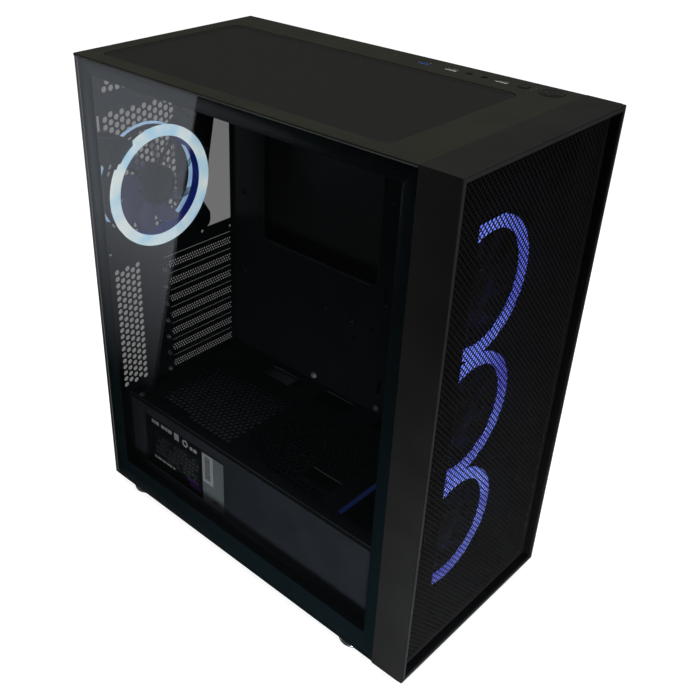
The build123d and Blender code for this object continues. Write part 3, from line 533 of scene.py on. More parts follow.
def capOf(node):  # the round cap of a button, without its lugs and stem
    high = boxOf(node)[1]
    return corners([point for point in pointsOf(node) if point.z > high.z - 0.01])


def stepBox():  # the low and high corner of the step in the rear panel
    low = boxOf("rear_panel")[0]
    one, two = corners([point for point in pointsOf("rear_panel") if point.y < low.y + 0.01])
    return one.xz, two.xz


def shroudWindow(low):  # the low and high corner, y and z, of the opening in the side wall
    edge = [
        point for point in pointsOf("psu_shroud")
        if abs(point.x - low.x) < 0.01 and low.z + 0.1 < point.z < low.z + 90 and point.y > low.y + 1
    ]
    one, two = corners(edge)
    return one.yz, two.yz


# Camera
camera = {
    "place": (-0.5554, -0.4839, 0.6759),
    "azimuth": -46.434,
    "elevation": 31.189,
    "roll": -0.94,
    "lens": 47.27,
    "shift": (0.0962, -0.0236),
}


def lookAlong(way):  # a turn whose -z points this way, as a camera's or a lamp's
    return way.to_track_quat("-Z", "Y").to_matrix().to_4x4()


def makeCamera(place, azimuth, elevation, roll, lens, shift):
    data = bpy.data.cameras.new("camera")
    data.lens, data.sensor_width = lens, 36.0
    data.shift_x, data.shift_y = shift
    data.clip_start, data.clip_end = 0.05, 50
    made = bpy.data.objects.new("camera", data)
    side, up = math.radians(azimuth), math.radians(elevation)
    way = Vector((-math.sin(side) * math.cos(up), math.cos(side) * math.cos(up), -math.sin(up)))
    tilt = Matrix.Rotation(math.radians(-roll), 4, "Z")
    made.matrix_world = Matrix.Translation(place) @ lookAlong(way) @ tilt
    bpy.context.scene.collection.objects.link(made)
    bpy.context.scene.camera = made


# Studio
behindGlass = 0.24  # how bright the pale surround is behind the tinted glass
sky = {"light": 0.25, "mirrored": 0.06}
studioFloor = {
    "size": 12.0,
    "colour": 0.30,
    "glow": 0.90,  # what the camera sees on top of the lit colour
    "mirrored": 0.006,  # the same for what gloss shows
}
lamps = {
    "overheadLamp": dict(place=(-0.1, -0.1, 2.6), aim=(0, 0, 0.3), size=1.3, power=48, shine=False),
    "lowLamp": dict(
        place=(-1.0, -0.75, 0.12), aim=(-0.1, -0.10, -0.02), size=0.3, power=0.84, spread=36,
        tint=(0.90, 0.94, 1.0),
    ),
    "frontLamp": dict(place=(1.2, -2.4, 1.5), aim=(0, 0, 0.3), size=1.4, power=8),
    "rearLamp": dict(place=(-1.4, 2.4, 1.9), aim=(0, 0, 0.3), size=1.4, power=8),
}


def makeSky(light, mirrored):
    world = bpy.data.worlds.new("studio")
    bpy.context.scene.world = world
    world.use_nodes = True
    finish = Finish("studio", world.node_tree)
    eye, gloss, through, depth = finish.rays()
    seen = (eye + through) * (1 - (depth > 0.5) * (1 - behindGlass))
    strength = seen + (1 - eye - through) * (light + gloss * (mirrored - light))
    finish.node("OutputWorld", None, {0: finish.node("Background", None, {0: (1, 1, 1), 1: strength})})


def makeFloor(size, colour, glow, mirrored):
    finish = Finish("paleFloor")
    eye, gloss, through, depth = finish.rays()
    behind = depth > 0.5
    shade = finish.mix(behind, (colour,) * 3, (colour * behindGlass,) * 3)
    lit = finish.node("BsdfDiffuse", None, {0: finish.mix(gloss, shade, (0, 0, 0))})
    direct = (eye + through) * (1 - behind * (1 - behindGlass))
    own = finish.node("Emission", None, {0: (1, 1, 1), 1: direct * glow + gloss * mirrored})
    finish.node("OutputMaterial", None, {0: finish.node("AddShader", None, {0: lit, 1: own})})
    half = size / 2
    plainPiece("floor", [(x, y, 0) for x, y in rounded(-half, -half, half, half)], finish)


def plainPiece(name, points, finish):  # one flat face of the studio
    data = bpy.data.meshes.new(name)
    data.from_pydata(points, [], [tuple(range(len(points)))])
    data.materials.append(finish.material)
    made = bpy.data.objects.new(name, data)
    bpy.context.scene.collection.objects.link(made)
    return made


def makeLamp(name, place, aim, size, power, spread=180, tint=(1, 1, 1), shine=True):
    data = bpy.data.lights.new(name, "AREA")
    data.size, data.energy = size, power
    data.spread, data.color = math.radians(spread), tint
    made = bpy.data.objects.new(name, data)
    made.matrix_world = Matrix.Translation(place) @ lookAlong(Vector(aim) - Vector(place))
    made.visible_glossy = shine
    bpy.context.scene.collection.objects.link(made)


makeCamera(**camera)
bpy.context.scene.view_settings.view_transform = "Standard"
makeSky(**sky)
makeFloor(**studioFloor)
for name, lamp in lamps.items():
    makeLamp(name, **lamp)
print("camera and studio set")


# Front: bezel and mesh
bezel = {
    "lip": 3.6,  # width of the paler band behind the front edge
    "lipDrop": 0.35,
    "nose": 0.9,
    "wall": 5.0,
    "wallSheet": 3.2,
    "flangeEdge": 62.0,
    "flangeSheet": 2.0,
    "pegSize": 5.0,
    "pegX": 84.0,
    "pegHeights": (40.0, 230.0, 420.0),
}


def makeBezel(lip, lipDrop, nose, wall, wallSheet, flangeEdge, flangeSheet, pegSize, pegX, pegHeights):
    low, high = boxOf("front_bezel")
    seam = boxOf("top_panel")[0].y
    front, meshFront = low.y, boxOf("front_mesh")[0].y
    skin = wall - wallSheet
    Shape().hoop(low.xz, high.xz, [
        (skin, seam), (0.0, seam), (0.0, seam - 0.4), (0.15, front + lip + 0.4), (lipDrop, front + lip),
        (lipDrop, front + nose + 0.3), (lipDrop + 0.3, front + 0.3), (lipDrop + nose, front),
        (wall - 0.8, front), (wall - 0.2, front + 0.25), (wall, front + 0.9), (wall, meshFront + 2.2),
        (skin, meshFront + 2.2), (skin, seam),
    ]).piece("bezelRim", "front", "bezel_plastic", "bezelPlastic", ["front_bezel"])

    flange, flangeFront, half = Shape(), meshFront + 2.0, pegSize / 2
    flangeRear = flangeFront + flangeSheet
    for side in (-1, 1):
        outer, inner, x = side * (high.x - wall + 3.0), side * flangeEdge, side * pegX
        flange.block((inner, flangeFront, low.z + 3), (outer, flangeRear, high.z - 3), 0.6)
        for height in pegHeights:
            z = low.z + height
            flange.block((x - half, flangeFront + 1, z - half), (x + half, high.y, z + half), 0.9)
            for web in (z - 1.5, z + 1.5):  # thin webs that stiffen each peg
                near = x - half - 3, flangeFront + 1, web - 0.6
                flange.block(near, (x + half + 3, flangeFront + 9, web + 0.6), 0.2)
    for edge in (low.z + 3.0, high.z - 13.0):
        flange.block((low.x + 4, flangeFront, edge), (high.x - 4, flangeRear, edge + 10), 0.6)
    # The inner flanges take the darker plastic, as painted shade.
    flange.piece("bezelFlanges", "front", "bezel_plastic", "innerShadeAndMarkPlastic")
    # A painted highlight along the front edge, and the throat between it and the mesh in painted shade.
    Shape().sheet(
        oblong(low.xz, high.xz, lipDrop + nose), [oblong(low.xz, high.xz, wall - 0.9)], 0.06,
        at(0, front - 0.05, 0, facingFront),
    ).piece("bezelEdgeHighlight", "front", "bezel_plastic", "paleHighlightPlastic")
    # A thin dark sheet over the throat's wall: painted shade.
    Shape().hoop(low.xz, high.xz, [
        (wall, front + 1.2), (wall + 0.06, front + 1.3), (wall + 0.06, meshFront - 0.1),
        (wall, meshFront - 0.05), (wall - 0.2, meshFront - 0.05), (wall - 0.2, front + 1.2),
        (wall, front + 1.2),
    ]).piece("bezelThroatShade", "front", "bezel_plastic", "innerShadeAndMarkPlastic")


# The walls of one diamond of the mesh, by the corners of its front, its inner front and their backs.
diamondFaces = [
    face for j, n in ((0, 1), (1, 2), (2, 3), (3, 0))
    for face in ((j, n, 4 + n, 4 + j), (8 + n, 8 + j, 12 + j, 12 + n), (4 + j, 4 + n, 12 + n, 12 + j))
]
lattice = {"across": 5.0, "up": 5.5, "strand": 1.0, "sheet": 0.35, "rim": 5.5, "rimProud": 0.12}


def makeFrontMesh(across, up, strand, sheet, rim, rimProud):
    low, high = boxOf("front_mesh")
    halfX, halfZ = across / 2, up / 2
    inner = 1 - strand * math.hypot(halfX, halfZ) / (2 * halfX * halfZ)
    columns = int((high.x - low.x - 2 * rim) / halfX)
    rowCount = int((high.z - low.z - 2 * rim) / up) + 1
    middle = (low + high) / 2
    points, faces = [], []
    diamond = [(halfX, 0), (0, halfZ), (-halfX, 0), (0, -halfZ)]
    for i in range(columns):
        for k in range(rowCount):
            x = middle.x + (i - (columns - 1) / 2) * halfX
            z = middle.z + (k - (rowCount - 1) / 2) * up + (halfZ / 2 if i % 2 else -halfZ / 2)
            first = len(points)
            for y in (low.y, low.y + sheet):
                for scale in (1, inner):
                    points += [(x + a * scale, y, z + b * scale) for a, b in diamond]
            faces += [tuple(first + index for index in face) for face in diamondFaces]
    data = bpy.data.meshes.new("strands")
    data.from_pydata(points, [], faces)
    shape = Shape()
    shape.mesh.from_mesh(data)
    bpy.data.meshes.remove(data)
    shape.piece("meshStrands", "front", "mesh_steel", "meshSteel", ["front_mesh"])
    Shape().sheet(
        oblong(low.xz, high.xz), [oblong(low.xz, high.xz, rim, 1.5, 3)], high.y - low.y + 2 * rimProud,
        at(0, low.y - rimProud, 0, facingFront), 0.1,
    ).piece("meshRim", "front", "mesh_steel", "meshSteel")


makeBezel(**bezel)
makeFrontMesh(**lattice)
print("front made")


# Top: panel, filter and the strip of ports
topPanel = {
    "sheet": 1.8,
    "seatLip": 1.0,
    "seatDrop": 1.0,
    "filterGap": 0.5,
    "corner": 10.0,
    "edge": 0.45,
    "ventField": (56.0, 58.0),  # half of each of the two fields of vents
    "ventPitch": 4.6,
    "ventRadius": 1.75,
    "portPlay": 0.3,
    "jackHole": 3.1,
    "lightHole": 1.15,
}


def makeTop(
    sheet, seatLip, seatDrop, filterGap, corner, edge, ventField, ventPitch, ventRadius, portPlay, jackHole,
    lightHole,
):
    low, high = boxOf("top_panel")
    filterLow, filterHigh = boxOf("top_filter")
    seat = oblong(filterLow, filterHigh, -filterGap, corner, 6)
    holes = [seat]
    for node in ("usb3_port", "usb2_ports"):
        holes += [oblong(one, two, -portPlay, 0.6, 2) for one, two in solidBoxes(node)]
    caps = [capOf(node) for node in ("power_button", "reset_button")]
    spots = [(box, (box[1].x - box[0].x) / 2 + portPlay, 40) for box in caps]
    spots += [(box, jackHole, 24) for box in solidBoxes("audio_jacks")]
    spots += [(box, lightHole, 14) for box in solidBoxes("status_lights")]
    for (one, two), radius, count in spots:
        x, y, _ = middleOf(one, two)
        holes.append(ring(x, y, radius, count))
    Shape().sheet(
        oblong(low, high, 0, 0.6, 2), holes, sheet, at(0, 0, high.z), edge
    ).piece("topSkin", "case", "outer_steel", "outerSteel", ["top_panel"])
    # A thin strip of painted highlight along the top panel's left edge.
    Shape().block(
        (low.x - 0.08, low.y + 0.6, low.z + 0.75), (low.x + 0.4, high.y - 0.6, low.z + 1.5), 0.05, 1
    ).piece("topEdgeHighlight", "case", "outer_steel", "paleHighlightSteel")
    # The seat under the filter: a wall round it and a floor with small six-sided vents.
    outline = oblong(filterLow, filterHigh, -filterGap - seatLip, corner + seatLip, 6)
    wallTop = high.z - seatDrop
    shape = Shape().sheet(outline, [seat], wallTop - filterLow.z, at(0, 0, wallTop))
    vents = []
    x, middle, _ = (filterLow + filterHigh) / 2
    wide, long = ventField
    for shift in (-1, 1):
        y = middle + shift * (filterHigh.y - filterLow.y) / 4
        vents += honeycomb(x - wide, y - long, x + wide, y + long, ventPitch)
    holes = [ring(x, y, ventRadius, 6, math.pi / 6) for x, y in vents]
    shape.sheet(outline, holes, 1.0, at(0, 0, filterLow.z))
    shape.piece("topSeat", "case", "black_steel", "blackSteel")


topFilter = {"border": 4.5, "drop": 0.35, "edge": 0.3, "corner": 9.5, "net": 0.3}


def makeTopFilter(border, drop, edge, corner, net):
    low, high = boxOf("top_filter")
    opening = oblong(low, high, border, corner - border, 5)
    Shape().sheet(
        oblong(low, high, 0, corner, 6), [opening], high.z - low.z, at(0, 0, high.z), edge
    ).piece("topFilterRim", "top_dust_filter", "filter_mesh", "filterWeave", ["top_filter"])
    Shape().sheet(
        opening, [], net, at(0, 0, high.z - drop)
    ).piece("topFilterNet", "top_dust_filter", "filter_mesh", "filterWeave")


portStrip = {
    "wall": 0.45,
    "tongue": 1.9,
    "contact": 1.0,
    "contactPitch": 2.5,
    "jackBore": 1.75,
    "jackSleeve": 2.05,
    "jackProud": 1.2,
}


def makePorts(wall, tongue, contact, contactPitch, jackBore, jackSleeve, jackProud):
    for node, name, finish in (("usb3_port", "usb3", "blueTongue"), ("usb2_ports", "usb2", "whiteTongue")):
        shells, tongues, contacts = Shape(), Shape(), Shape()
        for low, high in solidBoxes(node):
            mouth = oblong(low, high, wall, 0.4, 3)
            shells.sheet(oblong(low, high, 0, 0.7, 3), [mouth], high.z - low.z, at(0, 0, high.z), 0.12)
            shells.block((low.x + wall, low.y + wall, low.z), (high.x - wall, high.y - wall, low.z + 1))
            inner = low.x + wall + 0.25
            face = inner + tongue
            tongues.block((inner, low.y + 1.2, low.z + 0.5), (face, high.y - 1.2, high.z - 0.4), 0.25)
            for k in range(4):
                y = (low.y + high.y) / 2 + (k - 1.5) * contactPitch - contact / 2
                contacts.block((face - 0.1, y, high.z - 8), (face + 0.15, y + contact, high.z - 1.4), 0.05, 1)
        shells.piece(name + "Shells", "case", "port_steel", "portSteel", [node])
        tongues.piece(name + "Tongues", "case", "socket_plastic", finish)
        contacts.piece(name + "Contacts", "case", "port_steel", "goldContact")
    jacks, sleeves = Shape(), Shape()
    for low, high in solidBoxes("audio_jacks"):
        x, y, _ = middleOf(low, high)
        foot, rise = high.z - 12, high.z + jackProud
        jacks.turned([
            (jackBore, foot), (jackBore, rise - 0.3), (jackBore + 0.1, rise), (jackSleeve, rise),
            (jackSleeve, foot), (jackBore, foot),
        ], at(x, y, 0), 24)
        half = (high.x - low.x) / 2
        sleeves.sheet(
            rounded(x - half, y - half, x + half, y + half, 0.8, 2), [ring(x, y, jackSleeve, 24)],
            high.z - low.z, at(0, 0, high.z), 0.1,
        )
    sleeves.piece("audioBodies", "case", "socket_plastic", "socketPlastic", ["audio_jacks"])
    jacks.piece("audioSleeves", "case", "socket_plastic", "socketPlastic")


buttons = {
    "dish": 0.25,
    "groove": {"power": 1.5, "reset": 0.6},
    "lugHalf": 2.5,
    "stemHalf": 1.5,
    "markRadius": 2.9,
    "markLine": 0.7,
    "markSheet": 0.06,
    "markArc": (125.0, 290.0),  # where the mark's circle begins, and how far it goes round
}


def makeButtons(dish, groove, lugHalf, stemHalf, markRadius, markLine, markSheet, markArc):
    # A dished cap with a groove round it, over the lugs and the stem.
    top = boxOf("top_panel")[1].z
    for name, width in groove.items():
        node, body = name + "_button", name + "_key"
        low, high = capOf(node)
        x, y, _ = middleOf(low, high)
        radius, face = (high.x - low.x) / 2, high.z
        wholeLow, wholeHigh = boxOf(node)
        ridge = radius - 2 * width
        shape = Shape().turned([
            (0, face - dish), (radius * 0.35, face - dish * 0.85), (radius * 0.7, face - 0.05),
            (ridge - 0.25, face), (ridge, face - 0.1), (ridge + 0.1, face - 0.6),
            (radius - width - 0.1, face - 0.6), (radius - width, face - 0.08), (radius - 0.35, face - 0.02),
            (radius - 0.08, face - 0.15), (radius, face - 0.45), (radius, top - 3.0), (0, top - 3.0),
        ], at(x, y, 0), 64)
        shape.block((x - lugHalf, wholeLow.y, top - 3.0), (x + lugHalf, wholeHigh.y, top - 2.0), 0.2)
        shape.block((x - stemHalf, y - stemHalf, wholeLow.z), (x + stemHalf, y + stemHalf, top - 2.5), 0.3)
        shape.piece(name + "Cap", body, "button_plastic", "buttonPlastic", [node])
        if name == "power":  # a plain on and off mark, sunk dark in the cap
            level = face - dish + 0.02
            start, sweep = markArc
            mark = Shape().tube(
                markRadius - markLine, markRadius, level, level + markSheet, at(x, y, 0), 24,
                math.radians(sweep), math.radians(start),
            )
            mark.block(
                (x - markLine / 2, y + markRadius * 0.25, level),
                (x + markLine / 2, y + markRadius * 1.15, level + markSheet), 0.02, 1,
            )
            mark.piece("powerMark", body, "button_plastic", "innerShadeAndMarkPlastic")


stripWindow = {"x": 91.8, "y": 3.2, "wide": 1.8, "long": 4.4, "sheet": 0.25, "proud": 0.05}


def makeStripWindow(x, y, wide, long, sheet, proud):  # a small oblong window beside the ports
    Shape().sheet(
        rounded(x - wide / 2, y - long / 2, x + wide / 2, y + long / 2, wide / 2 - 0.05, 4), [], sheet,
        at(0, 0, boxOf("top_panel")[1].z + proud), 0.04,
    ).piece("stripWindow", "case", "clear_plastic", "portSteel")


makeTop(**topPanel)
makeTopFilter(**topFilter)
makePorts(**portStrip)
makeButtons(**buttons)
makeStripWindow(**stripWindow)
print("top made")


# Rear: panel with its vents, and the slot covers
rearPanel = {
    "sheet": 1.0,
    "ventRadius": 2.95,
    "ventPitch": 7.43,
    "column": (-82.9, 119.6, -56.8, 253.4),
    "fanField": (-81.4, 282.0, -2.0, 413.0),
    "strip": (-81.4, 52.0),
    "stripRows": (436.5, 442.9, 449.3),
    "io": (27.0, 265.0, 71.5, 420.8),
    "stepDepth": 2.5,
    "stepInset": 1.6,
    "stepRound": (2.0, 1.0),
    "sideSlot": (-91.2, 395.0, -87.6, 413.8),
    "pinholes": (
        (13.0, 397.4, 1.3), (30.2, 262.0, 1.8), (70.0, 256.0, 1.5), (-94.0, 60.0, 1.6), (-88.6, 274.9, 1.6),
    ),
    "screwHole": 2.4,
    "fanScrew": 52.5,  # from the middle of the fan, each way
    "thumbHole": 2.1,
}


def makeRearPanel(
    sheet, ventRadius, ventPitch, column, fanField, strip, stripRows, io, stepDepth, stepInset, stepRound,
    sideSlot, pinholes, screwHole, fanScrew, thumbHole,
):
    low, high = boxOf("rear_panel")
    inner = high.y - sheet
    stepLow, stepHigh = stepBox()
    holes = [rounded(*io, 0.8, 2), rounded(*sideSlot, 1.2, 3)]
    (_, first), (last, _) = boxOf("slot_cover_1"), boxOf("slot_cover_7")
    holes.append(rounded(last.x + 3.0, last.z - 0.4, first.x - 2.0, first.z + 0.4, 0.8, 2))
    supplyLow, supplyHigh = boxOf("psu_housing")
    holes.append(oblong(supplyLow.xz, supplyHigh.xz, 3, 2.0, 3))
    fanLow, fanHigh = boxOf("rear_fan_frame")
    fanX, _, fanZ = middleOf(fanLow, fanHigh)
    screws = [(fanX + a * fanScrew, fanZ + b * fanScrew) for a in (-1, 1) for b in (-1, 1)]
    holes += [ring(x, z, screwHole, 16) for x, z in screws]
    vents = honeycomb(*column, ventPitch)
    clear = screwHole + ventRadius + 1.2
    for x, z in honeycomb(*fanField, ventPitch):
        if min(math.hypot(x - a, z - b) for a, b in screws) > clear:
            vents.append((x, z))
    holes += [ring(x, z, ventRadius, 12) for x, z in vents]
    holes += [ring(x, z, size, 12) for x, z, size in pinholes]
    for node in ("glass_thumbscrews", "side_thumbscrews"):
        for one, two in solidBoxes(node):
            x, _, z = middleOf(one, two)
            holes.append(ring(x, z, thumbHole, 12))
    holes.append(oblong(stepLow, stepHigh, 0, stepRound[0], 3))
    shape = Shape().sheet(oblong(low.xz, high.xz), holes, sheet, at(0, high.y, 0, facingBack))
    # The raised step: its floor is nearer the front, and a slanted wall joins the two.
    vents = []
    for row, z in enumerate(stripRows):
        x, end = strip
        x += ventPitch / 2 if row % 2 else 0
        while x < end:
            vents.append(ring(x, z, ventRadius, 12))
            x += ventPitch
    floor = inner - stepDepth
    shape.sheet(
        oblong(stepLow, stepHigh, stepInset, stepRound[1], 3), vents, sheet, at(0, floor, 0, facingFront)
    )
    outside, inside = (stepRound[0], 3), (stepRound[1], 3)
    shape.hoop(stepLow, stepHigh, [
        (0, high.y, *outside), (stepInset, floor + sheet, *inside), (stepInset, floor, *inside),
        (0, inner, *outside), (0, high.y, *outside),
    ])
    # Folded edges along the left side and the top stiffen the panel.
    shape.block((low.x, inner - 7, low.z + 4), (low.x + sheet, inner, high.z - 4), 0.3)
    shape.block((low.x + 20, inner - 5, high.z - sheet), (high.x - 30, inner, high.z), 0.3)
    shape.piece("rearSkin", "case", "black_steel", "blackSteel", ["rear_panel"])


slotCovers = {"holeRadius": 1.18, "pitch": 3.36, "rowCount": 3, "margin": 8.0, "sheet": 1.0, "bend": 1.4}


def makeSlotCovers(holeRadius, pitch, rowCount, margin, sheet, bend):
    screws = Shape()
    back = boxOf("rear_panel")[1].y - rearPanel["sheet"]
    for number in range(1, 8):
        node = f"slot_cover_{number}"
        low, high = boxOf(node)
        z = (low.z + high.z) / 2
        holes = []
        for row in range(rowCount):
            x = low.x + margin + (pitch / 2 if row % 2 else 0)
            while x < high.x - margin / 2:
                holes.append(ring(x, z + (row - 1) * pitch * math.sqrt(3) / 2, holeRadius, 8, math.pi / 8))
                x += pitch
        outline = rounded(low.x + bend + sheet, low.z, high.x, high.z, 1.0, 3)
        shape = Shape().sheet(outline, holes, sheet, at(0, back - sheet, 0, facingFront), 0.12)
        # The bend at the left end, and the tab that the screw holds.
        foldX, foldY = low.x + sheet + bend, back - sheet - bend
        rows = []
        for k in range(7):
            turn = math.pi / 2 * k / 6
            rows.append([
                (foldX - r * math.sin(turn), foldY + r * math.cos(turn), level)
                for r, level in ((bend + sheet, low.z), (bend + sheet, high.z), (bend, high.z), (bend, low.z))
            ])
        shape.grid(rows, loop=True, ends=(True, True))
        shape.block((low.x, low.y, low.z), (low.x + sheet, foldY, high.z), 0.3)
        shape.piece(f"slotCover{number}", "case", "black_steel", "blackSteel", [node])
        crossScrew(screws, at(low.x, (low.y + back - sheet) / 2, z, facingLeft), 3.3, 1.9)
    screws.piece("slotScrewHeads", "case", "screw_steel", "screwSteel", ["slot_screws"])


makeRearPanel(**rearPanel)
makeSlotCovers(**slotCovers)
print("rear made")


# Tray behind the motherboard
tray = {
    "sheet": 1.0,
    "corner": 7.0,
    "rim": 1.6,
    "standoffs": [(y, z) for y in (176.0, 56.0, 20.0) for z in (428.0, 300.0, 205.0)],
    "holes": (
        (15.2, 206.1, 2.0), (-6.9, 206.1, 2.2), (15.2, 187.2, 2.0), (19.2, 123.0, 2.0), (-100.0, 150.0, 2.0),
    ),
    "loops": (  # slots for cable ties, each with a rivet below it
        (-21.0, 356.0, 9.5), (-21.8, 248.0, 8.5), (-22.4, 139.0, 5.5), (-120.0, 430.0, 6.0),
        (-120.0, 180.0, 6.0),
    ),
    "loopHalf": 1.5,
    "rivet": 0.9,
}


def makeTray(sheet, corner, rim, standoffs, holes, loops, loopHalf, rivet):
    low, high = boxOf("motherboard_tray")
    tall = (high.z - low.z) * 0.9  # above this it is the tray's own outline
    spans = [box for box in edgeLoops("motherboard_tray", low.x) if box[1].z - box[0].z < tall]
    spans.sort(key=lambda box: box[0].y - box[1].y)  # the cut-out is the widest
    cutLow, cutHigh = spans[0][0].yz, spans[0][1].yz
    cuts = [oblong(cutLow, cutHigh, 0, corner, 5)]
    cuts += [oblong(one.yz, two.yz, 0, 1.8, 4) for one, two in spans[1:]]
    cuts += [ring(y, z, radius, 14) for y, z, radius in holes]
    cuts += [rounded(y - loopHalf, z - half, y + loopHalf, z + half, 1.1, 3) for y, z, half in loops]
    shape = Shape().sheet(oblong(low.yz, high.yz), cuts, sheet, at(high.x, 0, 0, facingSide))
    # The edge of the cut-out is rolled towards the board.
    rows = []
    for k in range(7):
        turn = math.pi * k / 6
        grow = rim * (1 - math.cos(turn)) / 2
        out = rim * 0.7 * math.sin(turn)
        rows.append([(low.x - out, y, z) for y, z in oblong(cutLow, cutHigh, -grow, corner + grow, 5)])
    shape.grid([*rows, rows[0]], loop=True)
    dome = [(0, 1.6), (1.4, 1.6), (1.6, 1.5), (2.6, 0.9), (3.6, 0.2), (4.4, 0)]
    for y, z in standoffs:
        if not (cutLow[0] - 8 < y < cutHigh[0] + 8 and cutLow[1] - 8 < z < cutHigh[1] + 8):
            shape.turned(dome, at(low.x, y, z, facingLeft), 20)
    shape.piece("traySheet", "case", "black_steel", "blackSteel", ["motherboard_tray"])
    # Pale rivets below the loops, and a thin strip of painted highlight along the lower edge of the cut-out.
    rivetsAndHighlight = Shape()
    for y, z, half in loops:
        place = at(low.x, y, z - half - 0.4, facingLeft)
        rivetsAndHighlight.turned([(0, 0.7), (rivet * 0.6, 0.6), (rivet, 0.2), (rivet, 0)], place, 14)
    rivetsAndHighlight.block(
        (low.x - rim * 0.75, cutLow[0] + corner, cutLow[1] - rim * 0.62),
        (low.x - rim * 0.55, cutHigh[0] - corner, cutLow[1] - rim * 0.38), 0.03, 1,
    )
    rivetsAndHighlight.piece("trayRivetsAndHighlight", "case", "black_steel", "paleHighlightSteel")


makeTray(**tray)
print("tray made")


# Shroud: a cover plate over a recessed side wall with the window of the power supply
shroud = {
    "sheet": 1.0,
    "lipDrop": 5.5,
    "lipSheet": 0.8,
    "recess": 0.9,
    "bend": 0.9,
    "hexPitch": 6.15,
    "hexWidth": 4.7,
    "fields": (  # the two fields of vents, rear and front
        [(-60.0, 168.0), (16.0, 164.0), (27.0, 52.0), (-70.0, 55.0)],
        [(-46.0, 44.0), (38.0, 44.0), (38.0, -72.0), (-69.0, -72.0), (-69.0, -8.0)],
    ),
    "slots": (
        (47.0, 80.5, 65.5, 119.0), (52.0, 5.5, 71.0, 44.5), (-50.0, -69.0, -34.0, -31.0),
        (54.0, -66.0, 72.0, -29.0),
    ),
    "slotEdge": 1.6,
    "windowRound": 1.5,
    "windowFold": 4.2,
    "screwAt": (-75.0, 178.0),
}


def inOutline(point, outline):  # whether a point lies in an outline that turns one way
    turns = []
    for (a, b), (c, d) in zip(outline, outline[1:] + outline[:1]):
        turns.append((c - a) * (point[1] - b) - (d - b) * (point[0] - a))
    return all(turn > 0 for turn in turns) or all(turn < 0 for turn in turns)


